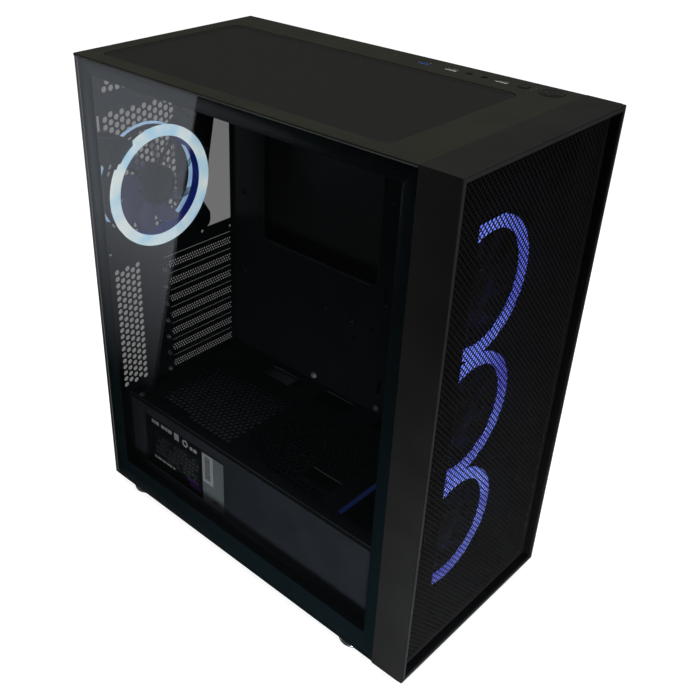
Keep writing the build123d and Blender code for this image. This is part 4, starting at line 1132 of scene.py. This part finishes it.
def makeShroud(
    sheet, lipDrop, lipSheet, recess, bend, hexPitch, hexWidth, fields, slots, slotEdge, windowRound,
    windowFold, screwAt,
):
    low, high = boxOf("psu_shroud")
    rear = boxOf("rear_panel")[1].y - sheet
    # The cut at the front of the plate, where the cables of the front fans pass.
    points = [point for point in pointsOf("psu_shroud") if point.z > high.z - 1.5]
    levels = [round(p.y, 3) for p in points if abs(p.x - high.x) > 3 and low.y + 1 < p.y < -60]
    cutFront, cutRear = min(levels), max(level for level in levels if level < -85)
    cutSides = [p.x for p in points if abs(p.y - cutFront) < 0.01]
    cutLeft, cutRight = min(cutSides), max(cutSides)
    holes = [rounded(*slot, 1.0, 3) for slot in slots]
    holes.append(rounded(cutLeft, cutFront, cutRight, cutRear, 3.0, 4))
    radius = hexWidth / math.sqrt(3)
    clear = radius + slotEdge
    for field in fields:
        one, two = corners([(x, y, 0) for x, y in field])
        for x, y in honeycomb(*one.xy, *two.xy, hexPitch):
            free = all(not (a - clear < x < c + clear and b - clear < y < d + clear) for a, b, c, d in slots)
            if free and inOutline((x, y), field):
                holes.append(ring(x, y, radius, 6))
    holes.append(ring(*screwAt, 1.9, 12))
    (left, front, _), (right, _, _) = boxOf("slot_cover_1")
    outline = [
        (low.x + bend, low.y), (high.x, low.y), (high.x, rear), (right + 0.5, rear),
        (right + 0.5, rear - 1.6), (left + 1.6, rear - 1.6), (left + 1.6, front - 0.6),
        (left - 0.6, front - 0.6), (left - 0.6, rear), (low.x + bend, rear),
    ]
    shape = Shape().sheet(outline, holes, sheet, at(0, 0, high.z), 0.1)
    # Bent lip along the left edge, and the flange that stiffens the front edge of the plate.
    section = []
    for k in range(6):
        turn = math.pi / 2 * k / 5
        section.append((low.x + bend - bend * math.sin(turn), high.z - bend + bend * math.cos(turn)))
    section += [
        (low.x, high.z - lipDrop), (low.x + lipSheet, high.z - lipDrop), (low.x + lipSheet, high.z - sheet),
        (low.x + bend, high.z - sheet),
    ]
    shape.grid([[(x, y, z) for x, z in section] for y in (rear, low.y)], loop=True, ends=(True, True))
    shape.block((cutLeft + 2, cutRear, high.z - 8.0), (cutRight - 2, cutRear + sheet, high.z - sheet), 0.3)
    shape.piece("shroudPlate", "case", "black_steel", "blackSteel", ["psu_shroud"])
    # Painted highlights where the edges catch the light: both bends of the lip, and the cut edge on the right
    # of each slot.
    edges = Shape()
    for x, z in ((low.x - 0.02, high.z - lipDrop + 0.1), (low.x + bend * 0.25, high.z - bend * 0.3)):
        edges.block((x, low.y + 1, z - 0.22), (x + 0.3, rear - 1, z + 0.22), 0.05, 1)
    for _, y0, x1, y1 in slots:
        edges.block((x1 - 0.25, y0 + 1, high.z - sheet), (x1 + 0.05, y1 - 1, high.z + 0.04), 0.03, 1)
    edges.piece("shroudEdgeHighlights", "case", "black_steel", "paleHighlightSteel")
    # A glowing sheet on the front flange: painted blue light from the front fans.
    Shape().block(
        (cutLeft + 2, cutRear - 0.35, high.z - 7.5), (cutRight - 2, cutRear - 0.05, high.z - 0.6), 0.05, 1
    ).piece("shroudFlangeBlueGlow", "case", "black_steel", "paintedBlueLight")
    # The side wall stands a little behind the lip, and folds back beside the window.
    windowLow, windowHigh = shroudWindow(low)
    back = low.x + recess + sheet
    wall = Shape().sheet(
        rounded(low.y, low.z, rear, high.z - sheet), [oblong(windowLow, windowHigh, 0, windowRound, 4)],
        sheet, at(back, 0, 0, facingSide), 0.1,
    )
    fold = low.x + recess + windowFold
    for start in (windowLow[0] - sheet, windowHigh[0]):
        wall.block((back, start, windowLow[1] + 2), (fold, start + sheet, windowHigh[1] - 2), 0.2)
    # The wall takes the paler steel as painted light.
    wall.piece("shroudWall", "case", "black_steel", "paintedLitShroudSteel")
    screws = Shape()
    crossScrew(screws, at(*screwAt, high.z), 3.2, 1.8)
    for one, two in solidBoxes("shroud_screws"):
        _, y, z = middleOf(one, two)
        crossScrew(screws, at(two.x, y, z, facingLeft), 3.4, 2.0)
    screws.piece("shroudScrewHeads", "case", "screw_steel", "screwSteel", ["shroud_screws"])


makeShroud(**shroud)
print("shroud made")


# Power supply: a folded housing with its labels, and the grille behind
supply = {
    "label": ((85.6, 22.0), (168.0, 90.0)),  # low and high corner, as y and z
    "sticker": ((48.4, 20.0), (84.4, 86.0)),
    "paper": 0.18,
    "coverInset": 4.0,
    "coverSheet": 0.3,
    "markRadii": (4.4, 2.4),
    "grillePitch": 6.6,
    "grilleHole": 2.9,
    "grilleEdge": 8.0,
    "grilleSheet": 0.8,
    "screwInset": 6.5,
}
# Bars in the place of words: how far down the label, how thick, and where each begins and ends along it.
labelWords = (
    (0.06, 0.065, ((0.045, 0.085), (0.095, 0.115), (0.125, 0.185), (0.235, 0.29), (0.30, 0.36))),
    (0.06, 0.065, ((0.37, 0.44),)),
    (0.045, 0.13, ((0.49, 0.58),)),
    (0.12, 0.06, ((0.79, 0.84), (0.86, 0.92))),
    (0.77, 0.036, ((0.06, 0.10), (0.12, 0.20), (0.22, 0.28), (0.30, 0.41), (0.43, 0.47))),
)
labelPatch = ((0.76, 0.06, ((0.72, 0.93),)), (0.84, 0.07, ((0.76, 0.98),)))
labelTable = {"top": 0.30, "rowPitch": 0.075, "rowCount": 6, "line": 0.005, "cell": 0.030, "gap": 0.022}


def bars(shape, rows, span, face, depth):
    (left, low), (right, high) = span
    wide, tall = right - left, high - low
    for down, thick, parts in rows:
        z = high - down * tall
        for start, end in parts:
            shape.block((face - depth, right - end * wide, z - thick * tall), (face, right - start * wide, z))


def tableRows(top, rowPitch, rowCount, line, cell, gap):  # ruled lines, with uneven cells between them
    rows = [(top + rowPitch * k, line, ((0.08, 0.95),)) for k in range(rowCount + 1)]
    for row in range(rowCount):
        parts, x = [], 0.10
        while x < 0.90:
            wide = 0.030 + 0.035 * dice.random()
            if dice.random() > 0.22:
                parts.append((x, x + wide))
            x += wide + gap
        rows.append((top + cell + rowPitch * row, cell, parts))
    return rows


def paperPiece(name, finish, span, face, paper):
    (left, low), (right, high) = span
    shape = Shape().block((face - paper, left, low), (face, right, high), 0.05, 1)
    shape.piece(name, "case", "psu_steel", finish)


def makeLabel(label, paper, markRadii):
    face = boxOf("psu_housing")[0].x
    faint, patch, words = Shape(), Shape(), Shape()
    bars(faint, tableRows(**labelTable), label, face, paper * 1.6)
    faint.piece("supplyTable", "case", "psu_steel", "labelFaint")
    bars(patch, labelPatch, label, face, paper * 1.6)
    patch.piece("supplyPatch", "case", "psu_steel", "labelPurple")
    bars(words, labelWords, label, face, paper * 2)
    (left, _), (right, top) = label
    outer, inner = markRadii
    words.turned(
        [(outer, 0), (outer, paper * 2), (inner, paper * 2), (inner, 0)],
        at(face, right - 0.70 * (right - left), top - 8.6, facingLeft), 28,
    )
    words.piece("supplyPrint", "case", "psu_steel", "labelPrint")


def makeSticker(sticker, paper):
    face = boxOf("psu_housing")[0].x
    paperPiece("supplySticker", "stickerPaper", sticker, face, paper)
    (left, _), (right, top) = sticker
    wide = right - left
    field, code = Shape(), Shape()
    field.block((face - paper * 1.7, right - 0.46 * wide, top - 38), (face - paper, right - 0.5, top - 1))
    field.piece("stickerField", "case", "psu_steel", "stickerWhite")
    z = top - 4.0
    while z > top - 33:  # a code of bars of chance widths
        thick = 0.35 + 0.75 * dice.random()
        start, end = right - 0.34 * wide, right - 0.12 * wide
        code.block((face - paper * 2.2, start, z - thick), (face - paper, end, z))
        z -= thick + 0.35 + 0.6 * dice.random()
    foot = [(0.84 + 0.035 * k, 0.012, ((0.42, 0.60 + 0.3 * dice.random()),)) for k in range(3)]
    bars(code, foot, sticker, face, paper * 2)
    code.piece("stickerBars", "case", "psu_steel", "stickerPrint")


def makeSupply(
    label, sticker, paper, coverInset, coverSheet, markRadii, grillePitch, grilleHole, grilleEdge,
    grilleSheet, screwInset,
):
    low, high = boxOf("psu_housing")
    paperPiece("supplyLabel", "paperLabel", label, low.x, paper)
    Shape().sheet(
        oblong(low, high, coverInset, 2.0, 3), [], coverSheet, at(0, 0, high.z + coverSheet)
    ).piece("supplyCover", "case", "psu_steel", "paleSteel")
    makeLabel(label, paper, markRadii)
    makeSticker(sticker, paper)
    # Grille behind: a honeycomb plate over the CAD vents, beside the inlet and the rocker.
    sockets = [boxOf("psu_inlet"), boxOf("rocker_frame")]
    right = min(one.x for one, _ in sockets) - grilleEdge
    edge = grilleEdge + grilleHole
    vents = honeycomb(low.x + edge, low.z + edge, right - grilleHole, high.z - edge, grillePitch)
    holes = [ring(x, z, grilleHole, 6) for x, z in vents]
    holes += [oblong(one.xz, two.xz, 0.4, 0.6, 2) for one, two in sockets]
    face = high.y + grilleSheet
    Shape().sheet(
        oblong(low.xz, high.xz, 3.4, 2.0, 3), holes, grilleSheet, at(0, face, 0, facingBack), 0.1
    ).piece("supplyGrille", "case", "psu_steel", "supplySteel")
    screws = Shape()
    for x in (low.x + screwInset, high.x - screwInset):
        for z in (low.z + (screwInset if x < 0 else 8.0), high.z - screwInset):
            crossScrew(screws, at(x, face, z, facingRear), 3.2, 1.8)
    screws.piece("supplyScrewHeads", "case", "screw_steel", "screwSteel")


makeSupply(**supply)
print("power supply made")


# Fans: frames with ducts, curved blades and the rings of light
fan = {
    "size": 120.0,
    "depth": 25.0,
    "corner": 9.0,
    "ringDepth": 3.0,
    "duct": 49.4,
    "ductWall": 1.4,
    "ductEnd": 18.8,
    "flange": 3.6,
    "padInner": 59.9,
    "padSpread": 14.5,  # degrees each way from the corner
    "flangeSpread": 17.0,
    "backDepth": 3.4,
    "backInner": 57.5,
    "backFlange": (51.0, 55.1),
    "screwPitch": 105.0,
    "screwHole": 2.3,
    "screwWall": 4.4,
    "motor": 18.0,
    "motorDepth": 3.0,
    "struts": 4,
    "strutWidth": 4.2,
}


def lugOutline(half, corner, inner, spread):  # a fan's corner: an arc inside, the square's corner outside
    first, last = math.radians(45 - spread), math.radians(45 + spread)
    foot, middle = half - corner - 7.0, half - corner
    tip = [(middle + corner * math.cos(turn), middle + corner * math.sin(turn))
           for turn in (math.pi / 10 * k for k in range(6))]
    arc = [(inner * math.cos(turn), inner * math.sin(turn))
           for turn in (last + (first - last) * k / 12 for k in range(13))]
    return [(half, foot), *tip, (foot, half), *arc]


def makeFanFrame(
    name, node, size, depth, corner, ringDepth, duct, ductWall, ductEnd, flange, padInner, padSpread,
    flangeSpread, backDepth, backInner, backFlange, screwPitch, screwHole, screwWall, motor, motorDepth,
    struts, strutWidth,
):
    shape = Shape()
    half, back, screw = size / 2, depth - backDepth, screwPitch / 2
    layers = (  # where each layer of a lug begins, its thickness, inner radius and spread
        (0.0, ringDepth, padInner, padSpread), (ringDepth, flange, duct + 0.8, flangeSpread),
        (back - flange, flange, backInner, flangeSpread), (back, backDepth, backInner, padSpread),
    )
    small, large = backFlange
    flangeProfile = rounded(small, back, large, back + 1.0)
    low, rear = depth - ringDepth - motorDepth, depth - 3.0
    motorProfile = [
        (0, low), (motor - 0.6, low), (motor, low + 0.6), (motor, rear - 0.4), (motor - 0.8, rear),
        (motor - 5.5, rear), (motor - 6.0, rear - 0.4), (0, rear - 0.4),
    ]
    for x, y, z in fanMiddles(node):
        place = at(x, y, z, facingBack)
        shape.tube(duct, duct + ductWall, ringDepth + 0.2, ductEnd, place, 72)
        for quarter in range(4):
            turn = Matrix.Rotation(math.pi / 2 * quarter, 4, "Z")
            for start, thick, inner, spread in layers:
                shape.sheet(
                    lugOutline(half, corner, inner, spread), [ring(screw, screw, screwHole, 14)], thick,
                    at(x, y + start, z, facingFront) @ turn, 0.25,
                )
            bore = place @ turn @ at(screw, screw, 0)
            shape.tube(screwHole, screwWall, ringDepth + flange, back - flange, bore, 16)
        shape.turned([*flangeProfile, flangeProfile[0]], place, 72)
        shape.turned(motorProfile, place, 48)
        for k in range(struts):
            arm = place @ Matrix.Rotation(math.radians(45) + math.tau * k / struts, 4, "Z")
            strut(shape, arm, motor - 1, duct + 7.4, strutWidth, low + 0.2, low + motorDepth - 0.2)
    shape.piece(name, "case", "fan_plastic", "fanPlastic", [node])


def fanMiddles(node):  # the middle of each fan's front face
    low, high = boxOf(node)
    count = round((high.z - low.z) / fan["size"])
    step = (high.z - low.z) / count
    return [((low.x + high.x) / 2, low.y, low.z + step * (k + 0.5)) for k in range(count)]


def strut(shape, arm, start, end, wide, low, high):  # an arm with a slight curve and a rounded back
    rows = []
    for k in range(9):
        along, swell = start + (end - start) * k / 8, math.sin(math.pi * k / 8)
        bow, half = swell * wide * 0.55, wide / 2 * (1 - 0.18 * swell)
        section = [(-half, low), (-half, high - 0.6), (-half + 0.6, high)]
        section += [(-across, height) for across, height in reversed(section)]
        rows.append([arm @ Vector((along, bow + across, height)) for across, height in section])
    shape.grid(rows, loop=True, ends=(True, True))


rotor = {
    "blades": 9,
    "hub": 19.5,
    "hubRound": 1.6,
    "hubDepth": 16.0,
    "tip": 47.6,
    "reach": 6.6,  # how far a blade may go to either side of its middle
    "chord": (15.5, 22.0),
    "pitch": (44.0, 32.0),
    "lean": 15.0,  # how far the tip of a blade runs ahead of its root, in degrees
    "camber": 0.11,
    "sheet": 1.5,
}


def makeRotor(
    name, body, node, place, finish, blades, hub, hubRound, hubDepth, tip, reach, chord, pitch, lean, camber,
    sheet,
):
    # The place is that of the open face of the hub; its height axis points away from the motor.
    Shape().turned([
        (0.0, hubDepth - 3.0), (hub - 1.2, hubDepth - 3.0), (hub - 1.2, 0.0), (hub, 0.0),
        (hub, hubDepth - hubRound), (hub - hubRound * 0.3, hubDepth - hubRound * 0.3),
        (hub - hubRound, hubDepth), (hub - 5.0, hubDepth), (hub - 5.4, hubDepth - 0.35),
        (hub - 6.0, hubDepth - 0.35), (hub - 6.4, hubDepth), (0.0, hubDepth),
    ], place, 54).piece(name + "Hub", body, "fan_plastic", "bladePlastic", [node], sharp=50)
    shape = Shape()
    for k in range(blades):
        turn = place @ Matrix.Rotation(math.tau * k / blades, 4, "Z")
        addBlade(shape, turn, hub - 0.8, tip, hubDepth / 2, reach, chord, pitch, lean, camber, sheet)
    shape.piece(name + "Blades", body, "fan_plastic", finish, sharp=50)


def addBlade(shape, turn, root, tip, middle, reach, chord, pitch, lean, camber, sheet, steps=10, around=9):
    # A cambered blade in sections from root to tip, each wrapped round its own radius.
    upper = [k / (around - 1) for k in range(around)]
    outline = [(part, 1) for part in upper] + [(1 - part, -1) for part in upper[1:-1]]
    rows = []
    for i in range(steps + 1):
        part = i / steps
        radius = root + (tip - root) * part
        rounding = math.sqrt(max(0.0, 1 - max(0.0, (part - 0.82) / 0.18) ** 2 * 0.55))
        slope = math.radians(pitch[0] + (pitch[1] - pitch[0]) * part)
        wide = min((chord[0] + (chord[1] - chord[0]) * part) * rounding, 2 * reach / math.sin(slope))
        thick = sheet * (1 - 0.35 * part)
        row = []
        for u, side in outline:
            along = (u - 0.5) * wide
            bulge = math.sqrt(max(0.0, u * (1 - u))) * 2
            rise = camber * wide * 4 * u * (1 - u) + side * thick / 2 * bulge * (1.15 - 0.5 * u)
            across = along * math.cos(slope) - rise * math.sin(slope)
            height = middle + along * math.sin(slope) + rise * math.cos(slope) - camber * wide * 0.5
            angle = math.radians(lean) * part ** 1.4 + across / radius
            row.append(turn @ Vector((radius * math.cos(angle), radius * math.sin(angle), height)))
        rows.append(row)
    shape.grid(rows, loop=True, ends=(True, True))


lights = {
    "inner": 49.0,
    "outer": 59.4,
    "corner": 1.1,
    "notch": (55.5, 121.0, 143.5),  # outer radius beside the rear fan's notch, and where it begins and ends
    "backArc": (55.2, 57.4, 1.6, 58.0, 212.0),  # radii, thickness, and where it begins and ends
    "sleeve": 0.12,
    "band": (13.0, -58.0, 34.0),  # the band of painted light in the duct: how deep, and where it begins and ends
}


def addRing(shape, place, inner, outer, depth, corner, first=0.0, last=360.0, count=96):
    soft = corner * 0.3
    shape.turned([
        (inner, 0.0), (inner, depth - corner), (inner + soft, depth - soft), (inner + corner, depth),
        (outer - corner, depth), (outer - soft, depth - soft), (outer, depth - corner), (outer, 0.0),
        (inner, 0.0),
    ], place, count, math.radians(last - first), math.radians(first))


def makeLights(inner, outer, corner, notch, backArc, sleeve, band):
    depth = fan["ringDepth"]
    rings = Shape()
    for x, y, z in fanMiddles("front_fan_frames"):
        addRing(rings, at(x, y + depth, z, facingFront), inner, outer, depth, corner)
    rings.piece("frontRings", "case", "ring_light", "frontGlow", ["light_rings"])
    x, y, z = fanMiddles("rear_fan_frame")[0]
    whole, back = Shape(), Shape()
    place = at(x, y + depth, z, facingFront)
    narrow, first, last = notch
    addRing(whole, place, inner, outer, depth, corner, last, first + 360)
    addRing(whole, place, inner, narrow, depth, corner, first, last, 24)
    whole.piece("rearRing", "case", "ring_light", "rearGlow")
    # A second, thinner ring at the back of the fan, and a painted glow for the light that lies on the duct's
    # inner wall.
    small, large, thin, first, last = backArc
    addRing(back, at(x, y + fan["depth"] - 0.4, z, facingFront), small, large, thin, 0.4, first, last, 48)
    place = at(x, y, z, facingBack)
    radius, end = fan["duct"] - sleeve, fan["ductEnd"] - 0.2
    start, first, last = band
    back.tube(
        radius - 0.4, radius - 0.1, start, end, place, 40, math.radians(last - first), math.radians(first)
    ).piece("backArcs", "case", "ring_light", "backGlow")
    # A painted blue glow over the duct's inner wall, for the ring's light on it.
    skin = Shape().tube(radius, radius + 0.3, depth + 0.3, end, place, 72)
    skin.piece("rearDuctPaintedGlow", "case", "ring_light", "paintedDuctGlow")


def makeRotors():
    hubFace = fan["depth"] - fan["ringDepth"] - fan["motorDepth"] - 0.3
    for number, (x, y, z) in enumerate(fanMiddles("front_fan_frames"), 1):
        names = f"frontRotor{number}", f"front_rotor_{number}", f"front_fan_rotor_{number}"
        makeRotor(*names, at(x, y + hubFace, z, facingFront), "smokedPlastic", **rotor)
    x, y, z = fanMiddles("rear_fan_frame")[0]
    place = at(x, y + hubFace, z, facingFront)
    makeRotor("rearRotor", "rear_rotor", "rear_fan_rotor", place, "litPlastic", **rotor)


def makeSupplyRotor():
    low, high = boxOf("psu_fan_rotor")
    x, y, _ = middleOf(low, high)
    own = rotor | {"tip": (high.x - low.x) / 2 - 0.4, "hubDepth": high.z - low.z, "reach": 6.2}
    place = at(x, y, high.z, facingDown)
    makeRotor("supplyRotor", "psu_rotor", "psu_fan_rotor", place, "smokedPlastic", **own)


makeFanFrame("frontFanFrames", "front_fan_frames", **fan)
makeFanFrame("rearFanFrame", "rear_fan_frame", **fan)
makeRotors()
makeLights(**lights)
makeSupplyRotor()
print("fans made")


# Sides: the glass with its painted border, and the thumbscrews of both sides
glass = {
    "ground": 0.35,
    "window": (13.2, 23.2, 19.0, 14.4),  # from the frame's front, bottom, rear and top to the clear glass
    "sheet": 1.0,
    "railReach": 3.2,
    "railSheet": 1.2,
    "railStart": 5.0,
    "railEnd": 2.2,
    "tabHalf": 15.0,
    "tabSheet": 1.2,
    "tabHole": 2.0,
}


def makeGlass(ground, window, sheet, railReach, railSheet, railStart, railEnd, tabHalf, tabSheet, tabHole):
    pane = Shape().block(*boxOf("glass_pane"), ground).piece(
        "glassPane", "glass_side", "tinted_glass", "tintedGlass", ["glass_pane"]
    )
    for polygon in pane.data.polygons:
        polygon.use_smooth = False
    # Behind the glass: the painted border with its rails above and below and the tabs of its screws.
    low, high = boxOf("glass_frame")
    front, bottom, rear, top = window
    clear = rounded(low.y + front, low.z + bottom, high.y - rear, high.z - top, 1.5, 3)
    back = low.x + sheet
    border = Shape().sheet(oblong(low.yz, high.yz), [clear], sheet, at(back, 0, 0, facingSide), 0.15)
    for z in (low.z, high.z - railSheet):
        border.block((back, low.y + railStart, z), (back + railReach, high.y - railEnd, z + railSheet), 0.2)
    for one, two in solidBoxes("glass_thumbscrews"):
        x, _, z = middleOf(one, two)
        border.sheet(
            rounded(back, z - tabHalf, high.x, z + tabHalf, 1.5, 3), [ring(x, z, tabHole, 16)], tabSheet,
            at(0, high.y, 0, facingBack), 0.15,
        )
    border.piece("glassBorder", "glass_side", "outer_steel", "borderPaint", ["glass_frame"])


thumbscrew = {
    "head": 8.4,
    "profile": ((0.55, 0.0), (0.62, 0.9), (0.98, 0.95), (1.0, 1.3), (1.0, 7.0), (0.93, 7.7), (0.80, 8.4)),
    "knurls": 30,
    "knurlDepth": 0.35,
    "shank": 1.7,
    "slot": (0.55, 1.2, 1.0),  # its reach as a share of the radius, its width and its depth
}


def makeThumbscrews(name, node, body, head, profile, knurls, knurlDepth, shank, slot):
    shape = Shape()
    share, wide, deep = slot
    for one, two in solidBoxes(node):
        x, _, z = middleOf(one, two)
        radius, start = (two.x - one.x) / 2, two.y - head
        place = at(x, start, z, facingBack)
        rows = []
        for part, height in profile:
            grooved = 1.0 < height < 7.8
            row = []
            for k in range(knurls * 2):
                angle = math.pi * k / knurls
                reach = radius * part - (knurlDepth if k % 2 and grooved else 0.0)
                row.append(place @ Vector((reach * math.cos(angle), reach * math.sin(angle), height)))
            rows.append(row)
        shape.grid(rows, loop=True, smooth=False, ends=(True, True))
        shape.turned([(shank, 0.0), (shank, one.y - start), (0.0, one.y - start)], place, 20)
        mouth = rounded(-radius * share, -wide / 2, radius * share, wide / 2)
        for turn in (0, math.pi / 2):  # a cross slot in the face, narrower at its floor
            arm = at(x, two.y - 0.05, z, facingBack) @ Matrix.Rotation(turn, 4, "Z")
            levels = ((1.0, 0.0), (0.8, -deep))
            rows = [[arm @ Vector((a * part, b, level)) for a, b in mouth] for part, level in levels]
            shape.grid(rows, loop=True, smooth=False, ends=(False, True))
    shape.piece(name, body, "thumb_steel", "thumbSteel", [node])


def makeFanScrews():
    front, rear = Shape(), Shape()
    for one, two in solidBoxes("fan_screws"):
        x, _, z = middleOf(one, two)
        if one.y > 0:
            crossScrew(rear, at(x, one.y, z, facingRear), 3.4, 1.9, 6.0)
        else:
            crossScrew(front, at(x, two.y, z, facingFront), 3.4, 1.9, 6.0)
    front.piece("frontFanScrews", "case", "screw_steel", "fanPlastic", ["fan_screws"])
    rear.piece("rearFanScrews", "case", "screw_steel", "screwSteel", ["fan_screws"])


makeGlass(**glass)
makeThumbscrews("glassScrews", "glass_thumbscrews", "glass_side", **thumbscrew)
makeThumbscrews("sideScrews", "side_thumbscrews", "steel_side", **thumbscrew)
makeFanScrews()
print("sides made")


# Feet, the bottom filter and the small lights
feet = {"radius": 14.0, "waist": 12.0, "rimHeight": 2.6, "pad": 10.5, "drop": 2.0}


def makeFeet(radius, waist, rimHeight, pad, drop):
    top, rim = boxOf("feet")[1].z, drop + rimHeight
    bodyProfile = [
        (0, top), (waist, top), (waist, top - 0.8), (waist - 0.7, top - 2.0), (waist - 0.3, rim + 1),
        (radius - 0.8, rim), (0, rim),
    ]
    rimProfile = [
        (0, rim), (radius - 0.9, rim), (radius - 0.2, drop + 2.0), (radius, drop + 1.3),
        (radius - 0.2, drop + 0.5), (radius - 0.9, drop), (pad + 0.4, drop), (pad + 0.4, drop + 0.6),
        (0, drop + 0.6),
    ]
    padProfile = [
        (0, drop + 0.6), (pad, drop + 0.6), (pad, 0.6), (pad - 0.5, 0.0), (pad - 3.0, 0.0), (pad - 3.4, 0.5),
        (0, 0.5),
    ]
    bodies, rims, pads = Shape(), Shape(), Shape()
    for one, two in solidBoxes("feet"):
        x, y, _ = middleOf(one, two)
        place = at(x, y, 0)
        bodies.turned(bodyProfile, place, 40)
        rims.turned(rimProfile, place, 48)
        pads.turned(padProfile, place, 36)
    bodies.piece("footBodies", "case", "foot_plastic", "buttonPlastic", ["feet"])
    rims.piece("footRims", "case", "foot_plastic", "footChrome")
    pads.piece("footPads", "case", "rubber", "rubber", ["foot_pads"])


bottomFilter = {"border": 7.0, "ribs": 3, "rib": 2.0, "net": 0.3, "netDrop": 0.8, "gripRibs": 5}


def makeBottomFilter(border, ribs, rib, net, netDrop, gripRibs):
    low, high = boxOf("bottom_filter")
    points = pointsOf("bottom_filter")
    plate = [point for point in points if point.z > high.z - 0.01]
    wide = max(point.x for point in plate)
    rear = max(point.y for point in plate if abs(point.x) > 20)
    bottom = min(point.z for point in points if point.y < low.y + 0.01)
    grip = max(point.x for point in points if point.y > rear + 0.5)
    span = (rear - low.y - 2 * border - ribs * rib) / (ribs + 1)
    starts = [low.y + border + k * (span + rib) for k in range(ribs + 1)]
    holes = [rounded(-wide + border, start, wide - border, start + span, 2.5, 4) for start in starts]
    outline = rounded(-wide, low.y, wide, rear, 3.0, 4)
    rim = Shape().sheet(outline, holes, high.z - bottom, at(0, 0, high.z), 0.3)
    rim.block((-grip, rear - 0.5, low.z), (grip, high.y, high.z), 0.6)
    for k in range(gripRibs):
        x = (k - 2) * grip / 3
        rim.block((x - 0.7, high.y - 0.8, low.z + 0.6), (x + 0.7, high.y, high.z - 0.6), 0.25)
    rim.piece("bottomFilterRim", "bottom_dust_filter", "filter_mesh", "fanPlastic", ["bottom_filter"])
    Shape().sheet(
        oblong((-wide, low.y), (wide, rear), border - 1), [], net, at(0, 0, high.z - netDrop)
    ).piece("bottomFilterNet", "bottom_dust_filter", "filter_mesh", "filterWeave")


def makeLenses():
    lenses = Shape()
    for one, two in solidBoxes("status_lights"):
        x, y, _ = middleOf(one, two)
        radius = (two.x - one.x) / 2
        lenses.turned([
            (0, two.z), (radius * 0.5, two.z - 0.08), (radius * 0.85, two.z - 0.3), (radius, two.z - 0.7),
            (radius, one.z), (0, one.z),
        ], at(x, y, 0), 20)
    lenses.piece("statusLenses", "case", "clear_plastic", "clearPlastic", ["status_lights"])


makeFeet(**feet)
makeBottomFilter(**bottomFilter)
makeLenses()
print("feet and filter made")


# CAD nodes that stay get their finish here, with a fine round on their edges
kept = {
    "chassis_floor": ("blackSteel", 0.25),
    "front_wall": ("innerShadeAndMarkPlastic", 0.25),
    "drive_cage": ("blackSteel", 0.20),
    "drive_bracket": ("blackSteel", 0.20),
    "side_panel": ("sideSteel", 0.45),
    "psu_housing": ("supplySteel", 0.40),
    "psu_pads": ("rubber", 0.30),
    "psu_inlet": ("socketPlastic", 0.30),
    "rocker_frame": ("socketPlastic", 0.30),
    "power_rocker": ("buttonPlastic", 0.25),
    "io_board": ("boardLacquer", 0.10),
}
for node, (finish, rounding) in kept.items():
    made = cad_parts[node]
    made.data.materials.clear()
    made.data.materials.append(finishes[finish])
    made.modifiers.new("weld", "WELD").merge_threshold = 1e-6
    bevel = made.modifiers.new("bevel", "BEVEL")
    bevel.width, bevel.segments = rounding * unit, 2
    bevel.limit_method, bevel.angle_limit = "ANGLE", math.radians(40)
    bevel.harden_normals, bevel.use_clamp_overlap = False, True
print("CAD nodes finished:", len(kept))


# A pale wall that only gloss shows: it lies in the glass as a soft diagonal veil
veil = {
    "edge": ((-238, 298), (-350, 414), (-504, 573), (-1051, 1140), (-1250, 1340)),
    "far": ((-1600, 2300), (-1200, 2300), (-238, 700)),
    "height": 0.004,
    "start": -0.235,
    "full": -0.56,
    "bright": 1.0,
    "tint": (0.84, 0.90, 1.0),
}


def makeVeil(edge, far, height, start, full, bright, tint):
    finish = Finish("veilCard")
    glow = finish.span(finish.axes()[0], start, full, 0.0, bright)
    finish.node("OutputMaterial", None, {0: finish.node("Emission", None, {0: tint, 1: glow})})
    card = plainPiece("veilCard", [(x * unit, y * unit, height) for x, y in (*edge, *far)], finish)
    card.visible_camera = card.visible_diffuse = card.visible_transmission = card.visible_shadow = False


makeVeil(**veil)
